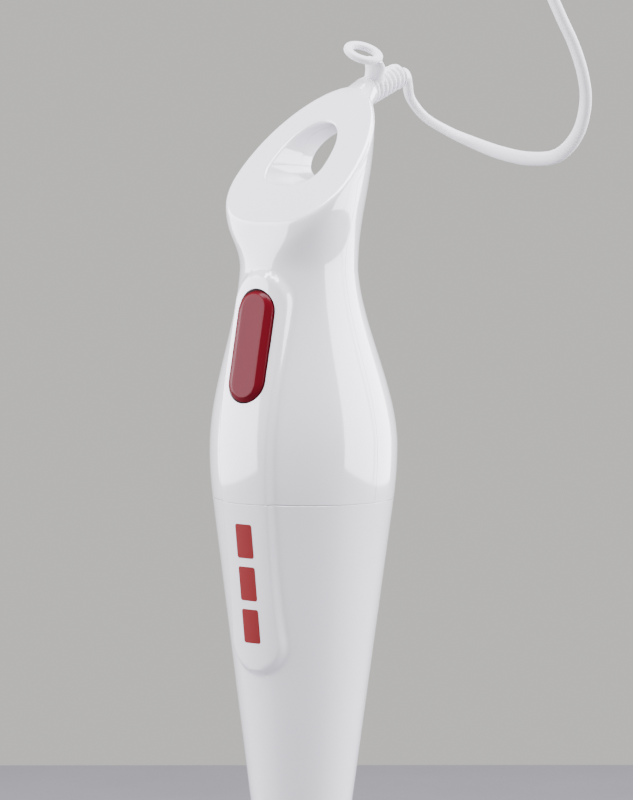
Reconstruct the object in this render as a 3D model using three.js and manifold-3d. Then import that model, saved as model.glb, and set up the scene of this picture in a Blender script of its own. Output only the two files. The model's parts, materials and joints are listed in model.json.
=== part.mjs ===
// Immersion blender: a hand-held motor unit with a slanted, pierced head, and a detachable blending foot.
// Millimetres. +Z runs up the body's axis, the button faces -Y, and the foot's rim stands on z = 0.
import * as THREE from 'three';
import { mergeVertices } from 'three/addons/utils/BufferGeometryUtils.js';
import Module from 'manifold-3d';

const wasm = await Module();
wasm.setup();

// ---- Driving dimensions -------------------------------------------------------------------------

const GAP = 0.3; // between pieces that touch
const WALL = 2.2;
const FAR = 90; // reach of a cutter that must pass right through

// Body: a cone below the split, a round hip above it, then a neck.
const HIP = { z: 243, r: 31.7 };
const NECK = { z: 307, r: 19.7, forward: 3 };
const SPLIT_Z = 226;
const BODY_FOOT_Z = 118;
const HIP_BULGE = 0.0038; // how fast the hip curves in below its widest line
const HIP_DROP = HIP.z - SPLIT_Z;
const SPLIT_R = HIP.r - HIP_BULGE * HIP_DROP ** 2;
const CONE_SLOPE = 2 * HIP_BULGE * HIP_DROP;
const HEAD_BASE_Z = 303;

// Slanted face: an egg-shaped outline on a plane that rises to the rear.
const FACE = { z: 340, tilt: 44, halfWidth: 25.4, middle: -8, upper: 43, lower: 22.4 };
const FACE_UPPER_POWER = 1.15;
const FACE_LOWER_POWER = 0.7;
const RIM = { inset: 3.2, rise: 1.5 };
const FACE_CROWN = [[0.66, 2.4], [0.33, 3]]; // the face's gentle dome: [share of its outline, rise]
const FACE_SLAB = 4; // depth of the slanted cover that belongs to the front shell
const AROUND = 32; // points round each body section

// Finger hole: runs along Y, point upwards.
const HOLE = { z: 337.5, halfWidth: 12.8, up: 17.5, down: 5.8, rearUp: 12.6, rearDown: 5 };
const HOLE_UPPER_POWER = 1.6;
const HOLE_LOWER_POWER = 0.7;
const HOLE_WALL = 1.8;
const HOLE_PARTING_Y = 12;
const HOLE_FRONT_Y = -4;
const HOLE_REAR_Y = 19;

// Raised pad down the front, and the button in it.
const PAD = { proud: 1.2, topZ: 291.5, topR: 12, bottomZ: 179, bottomR: 11.5 };
const PAD_SIDE = { upperX: 12.8, upperZ: 250, lowerX: 9.1, lowerZ: 203 }; // control points of its sides
const BUTTON = { z: 278, length: 37.6, width: 15.4, tilt: 11.5, proud: 1.7 };
const BUTTON_BEVEL = { across: 1.6, deep: 1.2, depth: 4.6 };
const BUTTON_GAP = 0.5;

// Cord outlet at the rear tip of the head.
const OUTLET = { y: 34.2, z: 362.9, rise: 18, r: 5, boreR: 4.3, boreDepth: 16 };
const SLEEVE = { length: 17, rootR: 4.9, endR: 4.1, ribs: 6, ribDepth: 0.9, stub: 8 };
const EYELET = { y: 30, z: 376.2, tilt: 30, long: 7.4, wide: 6.2, holeLong: 4.4, holeWide: 3.3, thick: 2.4 };

// Motor, around the body's axis.
const SHAFT_R = 2.5;
const BORE_R = SHAFT_R + GAP;
const STATOR = { r: 22, bore: 14.5, z0: 196, z1: 236 };
const ARMATURE = { r: 13.4, z0: 200, z1: 232 };
const BRACKET = { r: 21.5, z0: 188, z1: STATOR.z0 - GAP };
const END_CAP = { r: 20.5, z0: STATOR.z1 + GAP, z1: 252, wall: 2, bossR: 8, bossZ: 257.5 };
const COMMUTATOR = { r: 7, z0: 241, z1: 249 };
const FAN = { r: 19.5, z0: 178, z1: 185, hubR: 6, blades: 9 };
const BEARING = { r: 5.5, height: 4.6 };
const STATOR_SCREW = { x: 18.2, r: 1.5, z0: 191, headZ: 252.3, headR: 2.8, topZ: 254.6 };

// Bayonet nose, lock lugs and drive coupling.
const NOSE = { r: 13.2, bore: 10.5, z0: 96, z1: 134, flangeR: 15.3, flangeZ: 129.7 };
const LUG = { r: 14.8, z0: 99, z1: 102, halfAngle: 12 };
const LOCK_TURN = 35;
const DOG = { z0: 103, z1: 109, reach: 5, width: 2.4 };

// Blending foot.
const COLLAR_TOP_Z = 115.9;
const SOCKET = { r: 13.6, z: 93.5, grooveR: 15.1, clearAngle: 16 };
const BELL = { r: 36, wall: 2, notchWidth: 16, notchHeight: 11 };
const FOOT_BORE = 6;
const GASKET = { r: 16.5, bore: 15.4, z0: 116.2, z1: 117.7 };
const BLADE = { z: 11, thick: 1.6, reach: 26, width: 9 };

// Free cord.
const CORD = { width: 4.8, thick: 3.2, sides: 8, steps: 78 };
const COIL = { x: 66, y: 64, turnR: 27.5, halfWidth: 5.4, height: 10.4 };
const TIE = { thick: 1, halfWidth: 3 };

// ---- Solids -------------------------------------------------------------------------------------

const smooth = (t) => t * t * (3 - 2 * t);
const rad = THREE.MathUtils.degToRad;
const v3 = (x, y, z) => new THREE.Vector3(x, y, z);

// A closed three.js geometry as a solid that can be joined and cut.
function solid(geometry) {
  const bare = new THREE.BufferGeometry();
  bare.setAttribute('position', geometry.getAttribute('position').clone());
  if (geometry.index) bare.setIndex(geometry.index.clone());
  const merged = mergeVertices(bare, 1e-4);
  const corners = Array.from(merged.index.array);
  const kept = [];
  for (let i = 0; i < corners.length; i += 3) {
    const [a, b, c] = corners.slice(i, i + 3);
    if (a !== b && b !== c && c !== a) kept.push(a, b, c);
  }
  const build = (triVerts) => new wasm.Manifold(new wasm.Mesh({
    numProp: 3,
    vertProperties: new Float32Array(merged.attributes.position.array),
    triVerts: new Uint32Array(triVerts),
  }));
  const made = build(kept);
  if (made.volume() >= 0) return made;
  for (let i = 0; i < kept.length; i += 3) [kept[i + 1], kept[i + 2]] = [kept[i + 2], kept[i + 1]];
  return build(kept);
}

// A solid back as a three.js geometry.
function geometryOf(made) {
  const mesh = made.getMesh();
  const geometry = new THREE.BufferGeometry();
  geometry.setAttribute('position', new THREE.BufferAttribute(new Float32Array(mesh.vertProperties), 3));
  geometry.setIndex(Array.from(mesh.triVerts));
  const flat = geometry.toNonIndexed();
  flat.computeVertexNormals();
  return flat;
}

// A turned solid about the Z axis, from a closed profile of [radius, z] pairs.
function turned(profile, segments = 36) {
  const points = profile.map(([r, z]) => new THREE.Vector2(r, z));
  const closed = profile[0][0] > 0;
  if (closed) points.push(points[0].clone());
  return solid(new THREE.LatheGeometry(points, segments).rotateX(Math.PI / 2));
}

const disc = (r, z0, z1, segments) => turned([[0, z0], [r, z0], [r, z1], [0, z1]], segments);
const pipe = (r, bore, z0, z1, segments) =>
  turned([[bore, z0], [r, z0], [r, z1], [bore, z1]], segments);

function block(x0, x1, y0, y1, z0, z1) {
  const box = new THREE.BoxGeometry(x1 - x0, y1 - y0, z1 - z0);
  return solid(box.translate((x0 + x1) / 2, (y0 + y1) / 2, (z0 + z1) / 2));
}

// A round rod from one point to another.
function rod(from, to, r, segments = 16) {
  const axis = to.clone().sub(from);
  const turn = new THREE.Quaternion().setFromUnitVectors(v3(0, 1, 0), axis.clone().normalize());
  const cylinder = new THREE.CylinderGeometry(r, r, axis.length(), segments).applyQuaternion(turn);
  const middle = from.clone().add(to).multiplyScalar(0.5);
  return solid(cylinder.translate(middle.x, middle.y, middle.z));
}

// A solid through closed rings of equal length, each end closed by a fan about its middle.
function loft(rings) {
  const count = rings[0].length;
  const points = rings.flat();
  const corners = [];
  for (let k = 0; k + 1 < rings.length; k += 1) {
    for (let i = 0; i < count; i += 1) {
      const a = k * count + i;
      const b = k * count + ((i + 1) % count);
      corners.push(a, b, b + count, a, b + count, a + count);
    }
  }
  [0, rings.length - 1].forEach((k, end) => {
    const middle = rings[k].reduce((sum, p) => sum.add(p), v3(0, 0, 0)).divideScalar(count);
    points.push(middle);
    for (let i = 0; i < count; i += 1) {
      const a = k * count + i;
      const b = k * count + ((i + 1) % count);
      corners.push(...(end ? [a, b, points.length - 1] : [b, a, points.length - 1]));
    }
  });
  const geometry = new THREE.BufferGeometry().setFromPoints(points);
  geometry.setIndex(corners);
  return solid(geometry);
}

// A flat outline in X and Z, extruded along Y.
function prismY(shape, y0, y1, segments = 12) {
  const body = new THREE.ExtrudeGeometry(shape, {
    depth: y1 - y0, bevelEnabled: false, curveSegments: segments,
  });
  return solid(body.rotateX(Math.PI / 2).translate(0, y1, 0));
}

// A flat outline in X and Y, extruded along Z.
function prismZ(shape, z0, z1, segments = 12) {
  const body = new THREE.ExtrudeGeometry(shape, {
    depth: z1 - z0, bevelEnabled: false, curveSegments: segments,
  });
  return solid(body.translate(0, 0, z0));
}

// A sector of a disc, centred on an angle, as an extruded wedge.
function wedge(r, middle, halfAngle, z0, z1) {
  const shape = new THREE.Shape();
  shape.moveTo(0, 0);
  shape.absarc(0, 0, r, rad(middle - halfAngle), rad(middle + halfAngle), false);
  shape.lineTo(0, 0);
  return prismZ(shape, z0, z1, 10);
}

// A stadium outline: two half circles joined by straight sides, upright.
function stadium(width, length, cx = 0, cy = 0) {
  const r = width / 2;
  const half = length / 2 - r;
  const shape = new THREE.Shape();
  shape.absarc(cx, cy + half, r, 0, Math.PI, false);
  shape.absarc(cx, cy - half, r, Math.PI, 2 * Math.PI, false);
  shape.closePath();
  return shape;
}

// ---- Body surface -------------------------------------------------------------------------------

function bodyRadius(z) {
  if (z < SPLIT_Z) return SPLIT_R - CONE_SLOPE * (SPLIT_Z - z);
  if (z < HIP.z) return HIP.r - HIP_BULGE * (HIP.z - z) ** 2;
  return THREE.MathUtils.lerp(HIP.r, NECK.r, smooth((z - HIP.z) / (NECK.z - HIP.z)));
}

const bodyCentreY = (z) => (z <= HIP.z ? 0 : -NECK.forward * smooth((z - HIP.z) / (NECK.z - HIP.z)));

const angles = (count) => Array.from({ length: count }, (_, k) => (2 * Math.PI * k) / count);

function bodyRing(z, inset) {
  const r = bodyRadius(z) - inset;
  return angles(AROUND).map((a) => v3(r * Math.cos(a), bodyCentreY(z) + r * Math.sin(a), z));
}

const faceUp = v3(0, Math.cos(rad(FACE.tilt)), Math.sin(rad(FACE.tilt)));
const faceNormal = v3(0, -Math.sin(rad(FACE.tilt)), Math.cos(rad(FACE.tilt)));
const power = (c, p) => Math.sign(c) * Math.abs(c) ** p;

// A point of the slanted outline, moved inwards by inset, out along the face's normal by rise, and
// drawn towards the outline's middle by scale.
function facePoint(a, inset, rise, scale = 1) {
  const s = Math.sin(a);
  const bend = s > 0 ? FACE_UPPER_POWER : FACE_LOWER_POWER;
  const across = scale * (FACE.halfWidth - inset) * power(Math.cos(a), bend);
  const along = FACE.middle + scale * ((s > 0 ? FACE.upper : FACE.lower) - inset) * s;
  return v3(across, 0, FACE.z).addScaledVector(faceUp, along).addScaledVector(faceNormal, rise);
}

// The head's wall leaves the neck upright and arrives upright at the slanted outline.
function headRings(inset, drop, steps) {
  const neck = bodyRing(HEAD_BASE_Z, inset);
  const rings = [];
  for (let k = 1; k <= steps; k += 1) {
    rings.push(angles(AROUND).map((a, i) => {
      const end = facePoint(a, inset, -drop);
      const reach = 0.38 * neck[i].distanceTo(end);
      const curve = new THREE.CubicBezierCurve3(
        neck[i], neck[i].clone().add(v3(0, 0, reach)), end.clone().add(v3(0, 0, -reach)), end,
      );
      return curve.getPoint(k / steps);
    }));
  }
  return rings;
}

function bodyRings(z0, z1, step, inset) {
  const count = Math.max(1, Math.round((z1 - z0) / step));
  return Array.from({ length: count + 1 }, (_, k) => bodyRing(z0 + ((z1 - z0) * k) / count, inset));
}

// The soft rim: a quarter round from the outline up on to the face, then the face's own crown.
function rimRings() {
  const rim = [30, 60, 90].map((turn) => {
    const inset = RIM.inset * (1 - Math.cos(rad(turn)));
    return angles(AROUND).map((a) => facePoint(a, inset, RIM.rise * Math.sin(rad(turn))));
  });
  const crown = FACE_CROWN.map(([scale, rise]) =>
    angles(AROUND).map((a) => facePoint(a, RIM.inset, rise, scale)));
  return [...rim, ...crown];
}

const upperOutside = loft([
  ...bodyRings(SPLIT_Z + GAP / 2, HEAD_BASE_Z, 10, 0), ...headRings(0, 0, 5), ...rimRings(),
]);
const upperInside = loft([...bodyRings(SPLIT_Z - 4, HEAD_BASE_Z, 16, WALL), ...headRings(WALL, 1.4, 3)]);
const lowerOutside = loft(bodyRings(BODY_FOOT_Z, SPLIT_Z - GAP / 2, 110, 0));
const lowerInside = loft(bodyRings(BODY_FOOT_Z + 2.4, SPLIT_Z + 4, 60, WALL));

// ---- Pad, button slot and finger hole -----------------------------------------------------------

// The pad's outline: a pill that narrows a little below the button.
function padShape() {
  const { upperX, upperZ, lowerX, lowerZ } = PAD_SIDE;
  const shape = new THREE.Shape();
  shape.absarc(0, PAD.topZ, PAD.topR, 0, Math.PI, false);
  shape.bezierCurveTo(-upperX, upperZ, -lowerX, lowerZ, -PAD.bottomR, PAD.bottomZ);
  shape.absarc(0, PAD.bottomZ, PAD.bottomR, Math.PI, 2 * Math.PI, false);
  shape.bezierCurveTo(lowerX, lowerZ, upperX, upperZ, PAD.topR, PAD.topZ);
  return shape;
}

const padPrism = prismY(padShape(), -FAR, -6, 6);
const padUpper = loft(bodyRings(SPLIT_Z + GAP / 2, 308, 12, -PAD.proud)).intersect(padPrism);
const padLower = loft(bodyRings(150, SPLIT_Z - GAP / 2, 80, -PAD.proud)).intersect(padPrism);

// The button's own frame: its face lies on the sloping pad.
const padSurfaceY = bodyCentreY(BUTTON.z) - bodyRadius(BUTTON.z) - PAD.proud;

function buttonPrism(grow, front, back) {
  const shape = stadium(BUTTON.width + 2 * grow, BUTTON.length + 2 * grow);
  const body = new THREE.ExtrudeGeometry(shape, {
    depth: back + front, bevelEnabled: false, curveSegments: 12,
  });
  body.rotateX(Math.PI / 2).translate(0, back, 0).rotateX(-rad(BUTTON.tilt));
  return solid(body.translate(0, padSurfaceY, BUTTON.z));
}

// The finger hole's outline at a given y: its top sinks towards the rear.
function holeRing(y, grow) {
  const t = THREE.MathUtils.clamp((y - HOLE_FRONT_Y) / (HOLE_REAR_Y - HOLE_FRONT_Y), 0, 1);
  const up = THREE.MathUtils.lerp(HOLE.up, HOLE.rearUp, t) + grow;
  const down = THREE.MathUtils.lerp(HOLE.down, HOLE.rearDown, t) + grow;
  return angles(24).map((a) => {
    const s = Math.sin(a);
    const across = (HOLE.halfWidth + grow) * power(Math.cos(a), s > 0 ? HOLE_UPPER_POWER : HOLE_LOWER_POWER);
    return v3(across, y, HOLE.z + (s > 0 ? up : down) * s);
  });
}

const holeTunnel = (grow, y0, y1) =>
  loft([y0, HOLE_FRONT_Y, Math.min(y1, HOLE_REAR_Y), ...(y1 > HOLE_REAR_Y ? [y1] : [])]
    .map((y) => holeRing(y, grow)));

const slantedSlab = (drop) => {
  const slab = new THREE.BoxGeometry(FAR, 2 * FAR, FAR);
  slab.translate(0, 0, FAR / 2 + RIM.rise - drop).rotateX(rad(FACE.tilt)).translate(0, 0, FACE.z);
  return solid(slab);
};

// ---- Cord outlet --------------------------------------------------------------------------------

const outletWay = v3(0, Math.cos(rad(OUTLET.rise)), Math.sin(rad(OUTLET.rise)));
const outletUp = v3(0, -outletWay.z, outletWay.y);
const outletEnd = v3(0, OUTLET.y, OUTLET.z);
const onOutlet = (along) => outletEnd.clone().addScaledVector(outletWay, along);

function outletRing(along, across, upward, lift = 0) {
  return angles(14).map((a) => onOutlet(along)
    .addScaledVector(outletUp, lift + upward * Math.sin(a))
    .add(v3(-across * Math.cos(a), 0, 0)));
}

const outletFairing = loft([
  outletRing(-19, 10, 5.5, -4), outletRing(-12, 8.6, 5.2, -2.2), outletRing(-6, 6.6, 4.9, -0.8),
  outletRing(-2, 5.3, 4.9, -0.1), outletRing(0, OUTLET.r, OUTLET.r),
]);
const outletBore = rod(onOutlet(-OUTLET.boreDepth), onOutlet(2), OUTLET.boreR, 20);

// ---- Upper shells and motor housing -------------------------------------------------------------

const SCREW = { z: 319, headR: 3, headDepth: 2.2, shankR: 1.4, headY: 13.4, endY: -12 };
const screwRod = (r, y0, y1) => rod(v3(0, y0, SCREW.z), v3(0, y1, SCREW.z), r, 14);

function upperShell() {
  const bosses = screwRod(3.4, -20, 18).intersect(upperOutside);
  return upperOutside.add(padUpper).add(outletFairing)
    .subtract(upperInside)
    .add(bosses)
    .add(holeTunnel(HOLE_WALL, -40, 40).intersect(upperOutside))
    .subtract(holeTunnel(0, -50, 50))
    .subtract(buttonPrism(BUTTON_GAP, 20, 12))
    .subtract(outletBore);
}

const wholeUpper = upperShell();

// Everything on one side of the seam, which follows the middle of the body from hip to neck.
function seamSide(side) {
  const shape = new THREE.Shape();
  shape.moveTo(side * FAR, 100);
  for (const z of [100, HIP.z, 259, 275, 291, NECK.z, 420]) {
    shape.lineTo(bodyCentreY(Math.min(z, NECK.z)) + (side * GAP) / 2, z);
  }
  shape.lineTo(side * FAR, 420);
  shape.closePath();
  const body = new THREE.ExtrudeGeometry(shape, { depth: 2 * FAR, bevelEnabled: false });
  return solid(body.translate(0, 0, -FAR).rotateX(Math.PI / 2).rotateZ(Math.PI / 2));
}

const frontHalf = seamSide(-1);
const rearHalf = seamSide(1);
const frontTunnel = holeTunnel(HOLE_WALL + GAP, -40, HOLE_PARTING_Y);
const frontTunnelOwn = holeTunnel(HOLE_WALL, -40, HOLE_PARTING_Y - GAP);

function frontShell() {
  const mask = frontHalf.add(slantedSlab(FACE_SLAB)).add(frontTunnelOwn);
  return wholeUpper.intersect(mask).subtract(screwRod(SCREW.shankR + GAP, SCREW.endY - 1, 30));
}

function rearShell() {
  return wholeUpper.intersect(rearHalf)
    .subtract(slantedSlab(FACE_SLAB + GAP))
    .subtract(frontTunnel)
    .subtract(screwRod(SCREW.shankR + GAP, -30, 30))
    .subtract(screwRod(SCREW.headR + GAP, SCREW.headY - GAP, 40));
}

function shellScrew() {
  const slot = block(-0.5, 0.5, SCREW.headY + 1.4, 30, SCREW.z - 2, SCREW.z + 2);
  return screwRod(SCREW.shankR, SCREW.endY, SCREW.headY + 1)
    .add(screwRod(SCREW.headR, SCREW.headY, SCREW.headY + SCREW.headDepth))
    .subtract(slot);
}

// Air slots low on the rear, where the fan blows out.
function ventCutter(k) {
  const z = 152 + 6 * k;
  const half = 7 + 0.8 * k;
  return block(-half, half, 8, FAR, z, z + 1.8);
}

function motorHousing() {
  let made = lowerOutside.add(padLower).subtract(lowerInside);
  made = made.subtract(disc(NOSE.r + GAP, BODY_FOOT_Z - 5, BODY_FOOT_Z + 10, 32));
  for (let k = 0; k < 5; k += 1) made = made.subtract(ventCutter(k));
  const ledge = pipe(bodyRadius(124) - 0.6, NOSE.r + 1.2, BODY_FOOT_Z + 2, NOSE.flangeZ - GAP, 32);
  const spigot = pipe(SPLIT_R - WALL - 0.4, SPLIT_R - WALL - 2, SPLIT_Z - 6, SPLIT_Z + 5, 44);
  const webs = pipe(SPLIT_R - WALL + 0.3, SPLIT_R - WALL - 2, SPLIT_Z - 6, SPLIT_Z - 3, 44);
  return made.add(ledge.intersect(lowerOutside)).add(spigot).add(webs);
}

// ---- Motor --------------------------------------------------------------------------------------

// A rod along one of the two long stator screws.
const alongScrew = (side, r, z0, z1, segments) =>
  rod(v3(side * STATOR_SCREW.x, 0, z0), v3(side * STATOR_SCREW.x, 0, z1), r, segments);

function boreForScrews(made) {
  const hole = (side) => alongScrew(side, STATOR_SCREW.r + GAP, 150, 270, 12);
  return made.subtract(hole(-1)).subtract(hole(1));
}

function motorCan() {
  const flats = block(-FAR, FAR, -19.5, 19.5, 150, 280);
  return boreForScrews(pipe(STATOR.r, STATOR.bore, STATOR.z0, STATOR.z1, 40).intersect(flats));
}

function lowerBracket() {
  const plate = turned([
    [BORE_R + 0.6, BRACKET.z0], [9, BRACKET.z0], [9, BRACKET.z0 + 3], [BRACKET.r, BRACKET.z0 + 3],
    [BRACKET.r, BRACKET.z1], [BEARING.r + GAP, BRACKET.z1], [BEARING.r + GAP, BRACKET.z0 + 1.6],
    [BORE_R + 0.6, BRACKET.z0 + 1.6],
  ], 32);
  return boreForScrews(plate);
}

function endCap() {
  const { r, z0, z1, wall, bossR, bossZ } = END_CAP;
  const cup = turned([
    [r - wall, z0], [r, z0], [r, z1], [bossR, z1], [bossR, bossZ], [BEARING.r + GAP, bossZ],
    [BEARING.r + GAP, z1], [BORE_R + 0.6, z1], [BORE_R + 0.6, z1 - wall], [r - wall, z1 - wall],
  ], 24);
  const guides = block(-r + 1, r - 1, -4.6, 4.6, 241, z1 - wall)
    .subtract(disc(COMMUTATOR.r + 0.8, 230, z1 - wall, 24));
  return boreForScrews(cup.add(guides)).subtract(block(-FAR, FAR, -2.9, 2.9, 242.4, 247.6));
}

const brush = (side) => {
  const [x0, x1] = [COMMUTATOR.r + GAP, 16];
  return block(Math.min(side * x0, side * x1), Math.max(side * x0, side * x1), -2.6, 2.6, 242.7, 247.3);
};

const bearing = (z0) => turned([
  [BORE_R, z0 + 0.5], [BEARING.r - 1, z0], [BEARING.r, z0 + 0.8], [BEARING.r, z0 + BEARING.height - 0.8],
  [BEARING.r - 1, z0 + BEARING.height], [BORE_R, z0 + BEARING.height - 0.5],
], 24);

function statorScrew(side) {
  const { r, z0, headZ, headR, topZ } = STATOR_SCREW;
  return alongScrew(side, r, z0, headZ + 0.7, 10).add(alongScrew(side, headR, headZ, topZ, 12));
}

function armature() {
  let made = pipe(ARMATURE.r, BORE_R, ARMATURE.z0, ARMATURE.z1, 36);
  for (let k = 0; k < 12; k += 1) {
    const slot = new THREE.BoxGeometry(3.4, 1.6, 60).translate(ARMATURE.r, 0, 216).rotateZ(rad(30 * k));
    made = made.subtract(solid(slot));
  }
  return made;
}

function commutator() {
  let made = pipe(COMMUTATOR.r, BORE_R, COMMUTATOR.z0, COMMUTATOR.z1, 24);
  for (let k = 0; k < 12; k += 1) {
    const slot = new THREE.BoxGeometry(1.6, 0.5, 30).translate(COMMUTATOR.r, 0, 245);
    made = made.subtract(solid(slot.rotateZ(rad(30 * k + 15))));
  }
  return made;
}

function coolingFan() {
  let made = pipe(FAN.hubR, BORE_R, FAN.z0, FAN.z1, 24).add(pipe(FAN.r, BORE_R, FAN.z1 - 1.4, FAN.z1, 36));
  for (let k = 0; k < FAN.blades; k += 1) {
    const blade = new THREE.BoxGeometry(FAN.r - FAN.hubR + 1, 1, FAN.z1 - FAN.z0);
    blade.rotateZ(rad(18)).translate((FAN.r + FAN.hubR - 1.6) / 2, 0, (FAN.z0 + FAN.z1) / 2);
    made = made.add(solid(blade.rotateZ(rad((360 * k) / FAN.blades))));
  }
  return made.intersect(pipe(FAN.r, BORE_R, FAN.z0, FAN.z1, 36));
}

function motorShaft() {
  return disc(SHAFT_R, DOG.z0 + 2, 260, 20);
}

function driveDog() {
  const bar = block(-DOG.reach, DOG.reach, -DOG.width / 2, DOG.width / 2, DOG.z0, DOG.z1);
  return bar.intersect(disc(DOG.reach, 90, 130, 24)).add(disc(4.4, DOG.z1, 118, 24))
    .subtract(disc(BORE_R, DOG.z0 + 1.7, 130, 20));
}

// ---- Bayonet nose -------------------------------------------------------------------------------

function couplingNose() {
  const tube = turned([
    [NOSE.bore, NOSE.z0], [NOSE.r - 0.8, NOSE.z0], [NOSE.r, NOSE.z0 + 1], [NOSE.r, NOSE.flangeZ],
    [NOSE.flangeR, NOSE.flangeZ], [NOSE.flangeR, NOSE.z1], [6, NOSE.z1], [6, NOSE.z1 - 6],
    [NOSE.bore, NOSE.z1 - 8],
  ], 28);
  const lugs = [0, 180].map((turn) => wedge(LUG.r, turn, LUG.halfAngle, LUG.z0, LUG.z1)
    .subtract(disc(NOSE.bore + 1, 80, 130, 24)));
  return tube.add(lugs[0]).add(lugs[1]);
}

// ---- Switch and button --------------------------------------------------------------------------

const BOARD = { halfWidth: 11, y0: -3, y1: -1.4, z0: 262, z1: 300 };
const SWITCH = { halfWidth: 3.2, y0: -12.6, z0: 270.5, z1: 283.5, plungerR: 1.2 };

function circuitBoard() {
  const hole = (x, z) => rod(v3(x, -10, z), v3(x, 10, z), 1.4, 12);
  return block(-BOARD.halfWidth, BOARD.halfWidth, BOARD.y0, BOARD.y1, BOARD.z0, BOARD.z1)
    .subtract(hole(-8.5, 265)).subtract(hole(8.5, 265));
}

function microswitch() {
  const body = block(-SWITCH.halfWidth, SWITCH.halfWidth, SWITCH.y0, BOARD.y0 - GAP, SWITCH.z0, SWITCH.z1);
  return body.subtract(rod(v3(0, SWITCH.y0 - 2, BUTTON.z), v3(0, SWITCH.y0 + 4, BUTTON.z), 2, 14));
}

// The button: a stadium with bevelled edges round a flat centre, and a rib that presses the switch.
function buttonCap() {
  const { across, deep, depth } = BUTTON_BEVEL;
  const shape = stadium(BUTTON.width - 2 * across, BUTTON.length - 2 * across);
  const cap = new THREE.ExtrudeGeometry(shape, {
    depth, bevelEnabled: true, bevelThickness: deep, bevelSize: across, bevelSegments: 2, curveSegments: 7,
  });
  cap.rotateX(Math.PI / 2).translate(0, depth + deep - BUTTON.proud, 0);
  cap.rotateX(-rad(BUTTON.tilt)).translate(0, padSurfaceY, BUTTON.z);
  const ribEnd = SWITCH.y0 - 2.4;
  const rib = rod(v3(0, padSurfaceY + 3, BUTTON.z), v3(0, ribEnd, BUTTON.z), 2.6, 16);
  return solid(cap).add(rib);
}

const switchPlunger = () =>
  rod(v3(0, SWITCH.y0 - 2.1, BUTTON.z), v3(0, SWITCH.y0 + 0.6, BUTTON.z), SWITCH.plungerR, 14);

class Helix extends THREE.Curve {
  constructor(start, way, side, r, length, turns) {
    super();
    Object.assign(this, { start, way, side, up: way.clone().cross(side), r, length, turns });
  }

  getPoint(t) {
    const a = 2 * Math.PI * this.turns * t;
    return this.start.clone().addScaledVector(this.way, this.length * t)
      .addScaledVector(this.side, this.r * Math.cos(a)).addScaledVector(this.up, this.r * Math.sin(a));
  }
}

const SPRING = { z: 266, r: 2.6, wire: 0.45, length: 12, turns: 5 };

function buttonSpring() {
  const start = v3(0, BOARD.y0 - 1 - SPRING.length, SPRING.z + 1.2);
  const path = new Helix(start, v3(0, 1, 0), v3(1, 0, 0), SPRING.r, SPRING.length, SPRING.turns);
  const section = new THREE.Shape();
  section.absarc(0, 0, SPRING.wire, 0, 2 * Math.PI, false);
  return solid(new THREE.ExtrudeGeometry(section, {
    steps: 50, curveSegments: 3, bevelEnabled: false, extrudePath: path,
  }));
}

// ---- Cord, sleeve and plug ----------------------------------------------------------------------

// A flat-sided cord swept along a smooth curve through points.
function sweep(points, width, thick, steps, sides) {
  const section = new THREE.Shape();
  section.absellipse(0, 0, thick / 2, width / 2, 0, 2 * Math.PI, false, 0);
  return solid(new THREE.ExtrudeGeometry(section, {
    steps, curveSegments: sides, bevelEnabled: false,
    extrudePath: new THREE.CatmullRomCurve3(points, false, 'centripetal'),
  }));
}

function strainRelief() {
  const rings = [outletRing(-SLEEVE.stub, 4, 4), outletRing(GAP, 4, 4)];
  const pitch = (SLEEVE.length - 2) / SLEEVE.ribs;
  rings.push(outletRing(GAP, SLEEVE.rootR, SLEEVE.rootR));
  rings.push(outletRing(2, SLEEVE.rootR, SLEEVE.rootR));
  for (let k = 0; k < SLEEVE.ribs; k += 1) {
    const r = THREE.MathUtils.lerp(SLEEVE.rootR, SLEEVE.endR, (k + 1) / SLEEVE.ribs);
    const at = 2 + k * pitch;
    rings.push(outletRing(at + 0.2, r - SLEEVE.ribDepth, r - SLEEVE.ribDepth));
    rings.push(outletRing(at + 0.35 * pitch, r - SLEEVE.ribDepth, r - SLEEVE.ribDepth));
    rings.push(outletRing(at + 0.35 * pitch + 0.2, r, r), outletRing(at + pitch, r, r));
  }
  return loft(rings).add(hangingEye()).subtract(rod(onOutlet(-20), onOutlet(-SLEEVE.stub + 2), 2.6, 12));
}

// The eye: a flat oval ring that leans forward over the head, on a short neck from the sleeve.
function hangingEye() {
  const ring = new THREE.Shape();
  ring.absellipse(0, 0, EYELET.wide, EYELET.long, 0, 2 * Math.PI, false, 0);
  const hole = new THREE.Path();
  hole.absellipse(0, 0, EYELET.holeWide, EYELET.holeLong, 0, 2 * Math.PI, true, 0);
  ring.holes.push(hole);
  const body = new THREE.ExtrudeGeometry(ring, {
    depth: EYELET.thick, bevelEnabled: false, curveSegments: 10,
  });
  const lean = Math.PI - rad(EYELET.tilt);
  body.translate(0, 0, -EYELET.thick / 2).rotateX(lean).translate(0, EYELET.y, EYELET.z);
  const neck = new THREE.BoxGeometry(6.4, 3, 8).rotateX(rad(18)).translate(0, EYELET.y + 6.7, EYELET.z - 5.6);
  return solid(body).add(solid(neck));
}

const LEAD_ROUTE = [
  v3(0, 25, 359.8), v3(-3.5, 21.6, 357), v3(-9, 18, 353), v3(-13.8, 13.5, 348.5), v3(-17, 9, 342),
  v3(-17.2, 7, 334), v3(-14, 6, 324), v3(-9, 6, 315), v3(-5, 5, 308), v3(-4, 0, 303.6), v3(-4, -2.2, 301.4),
];

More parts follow.
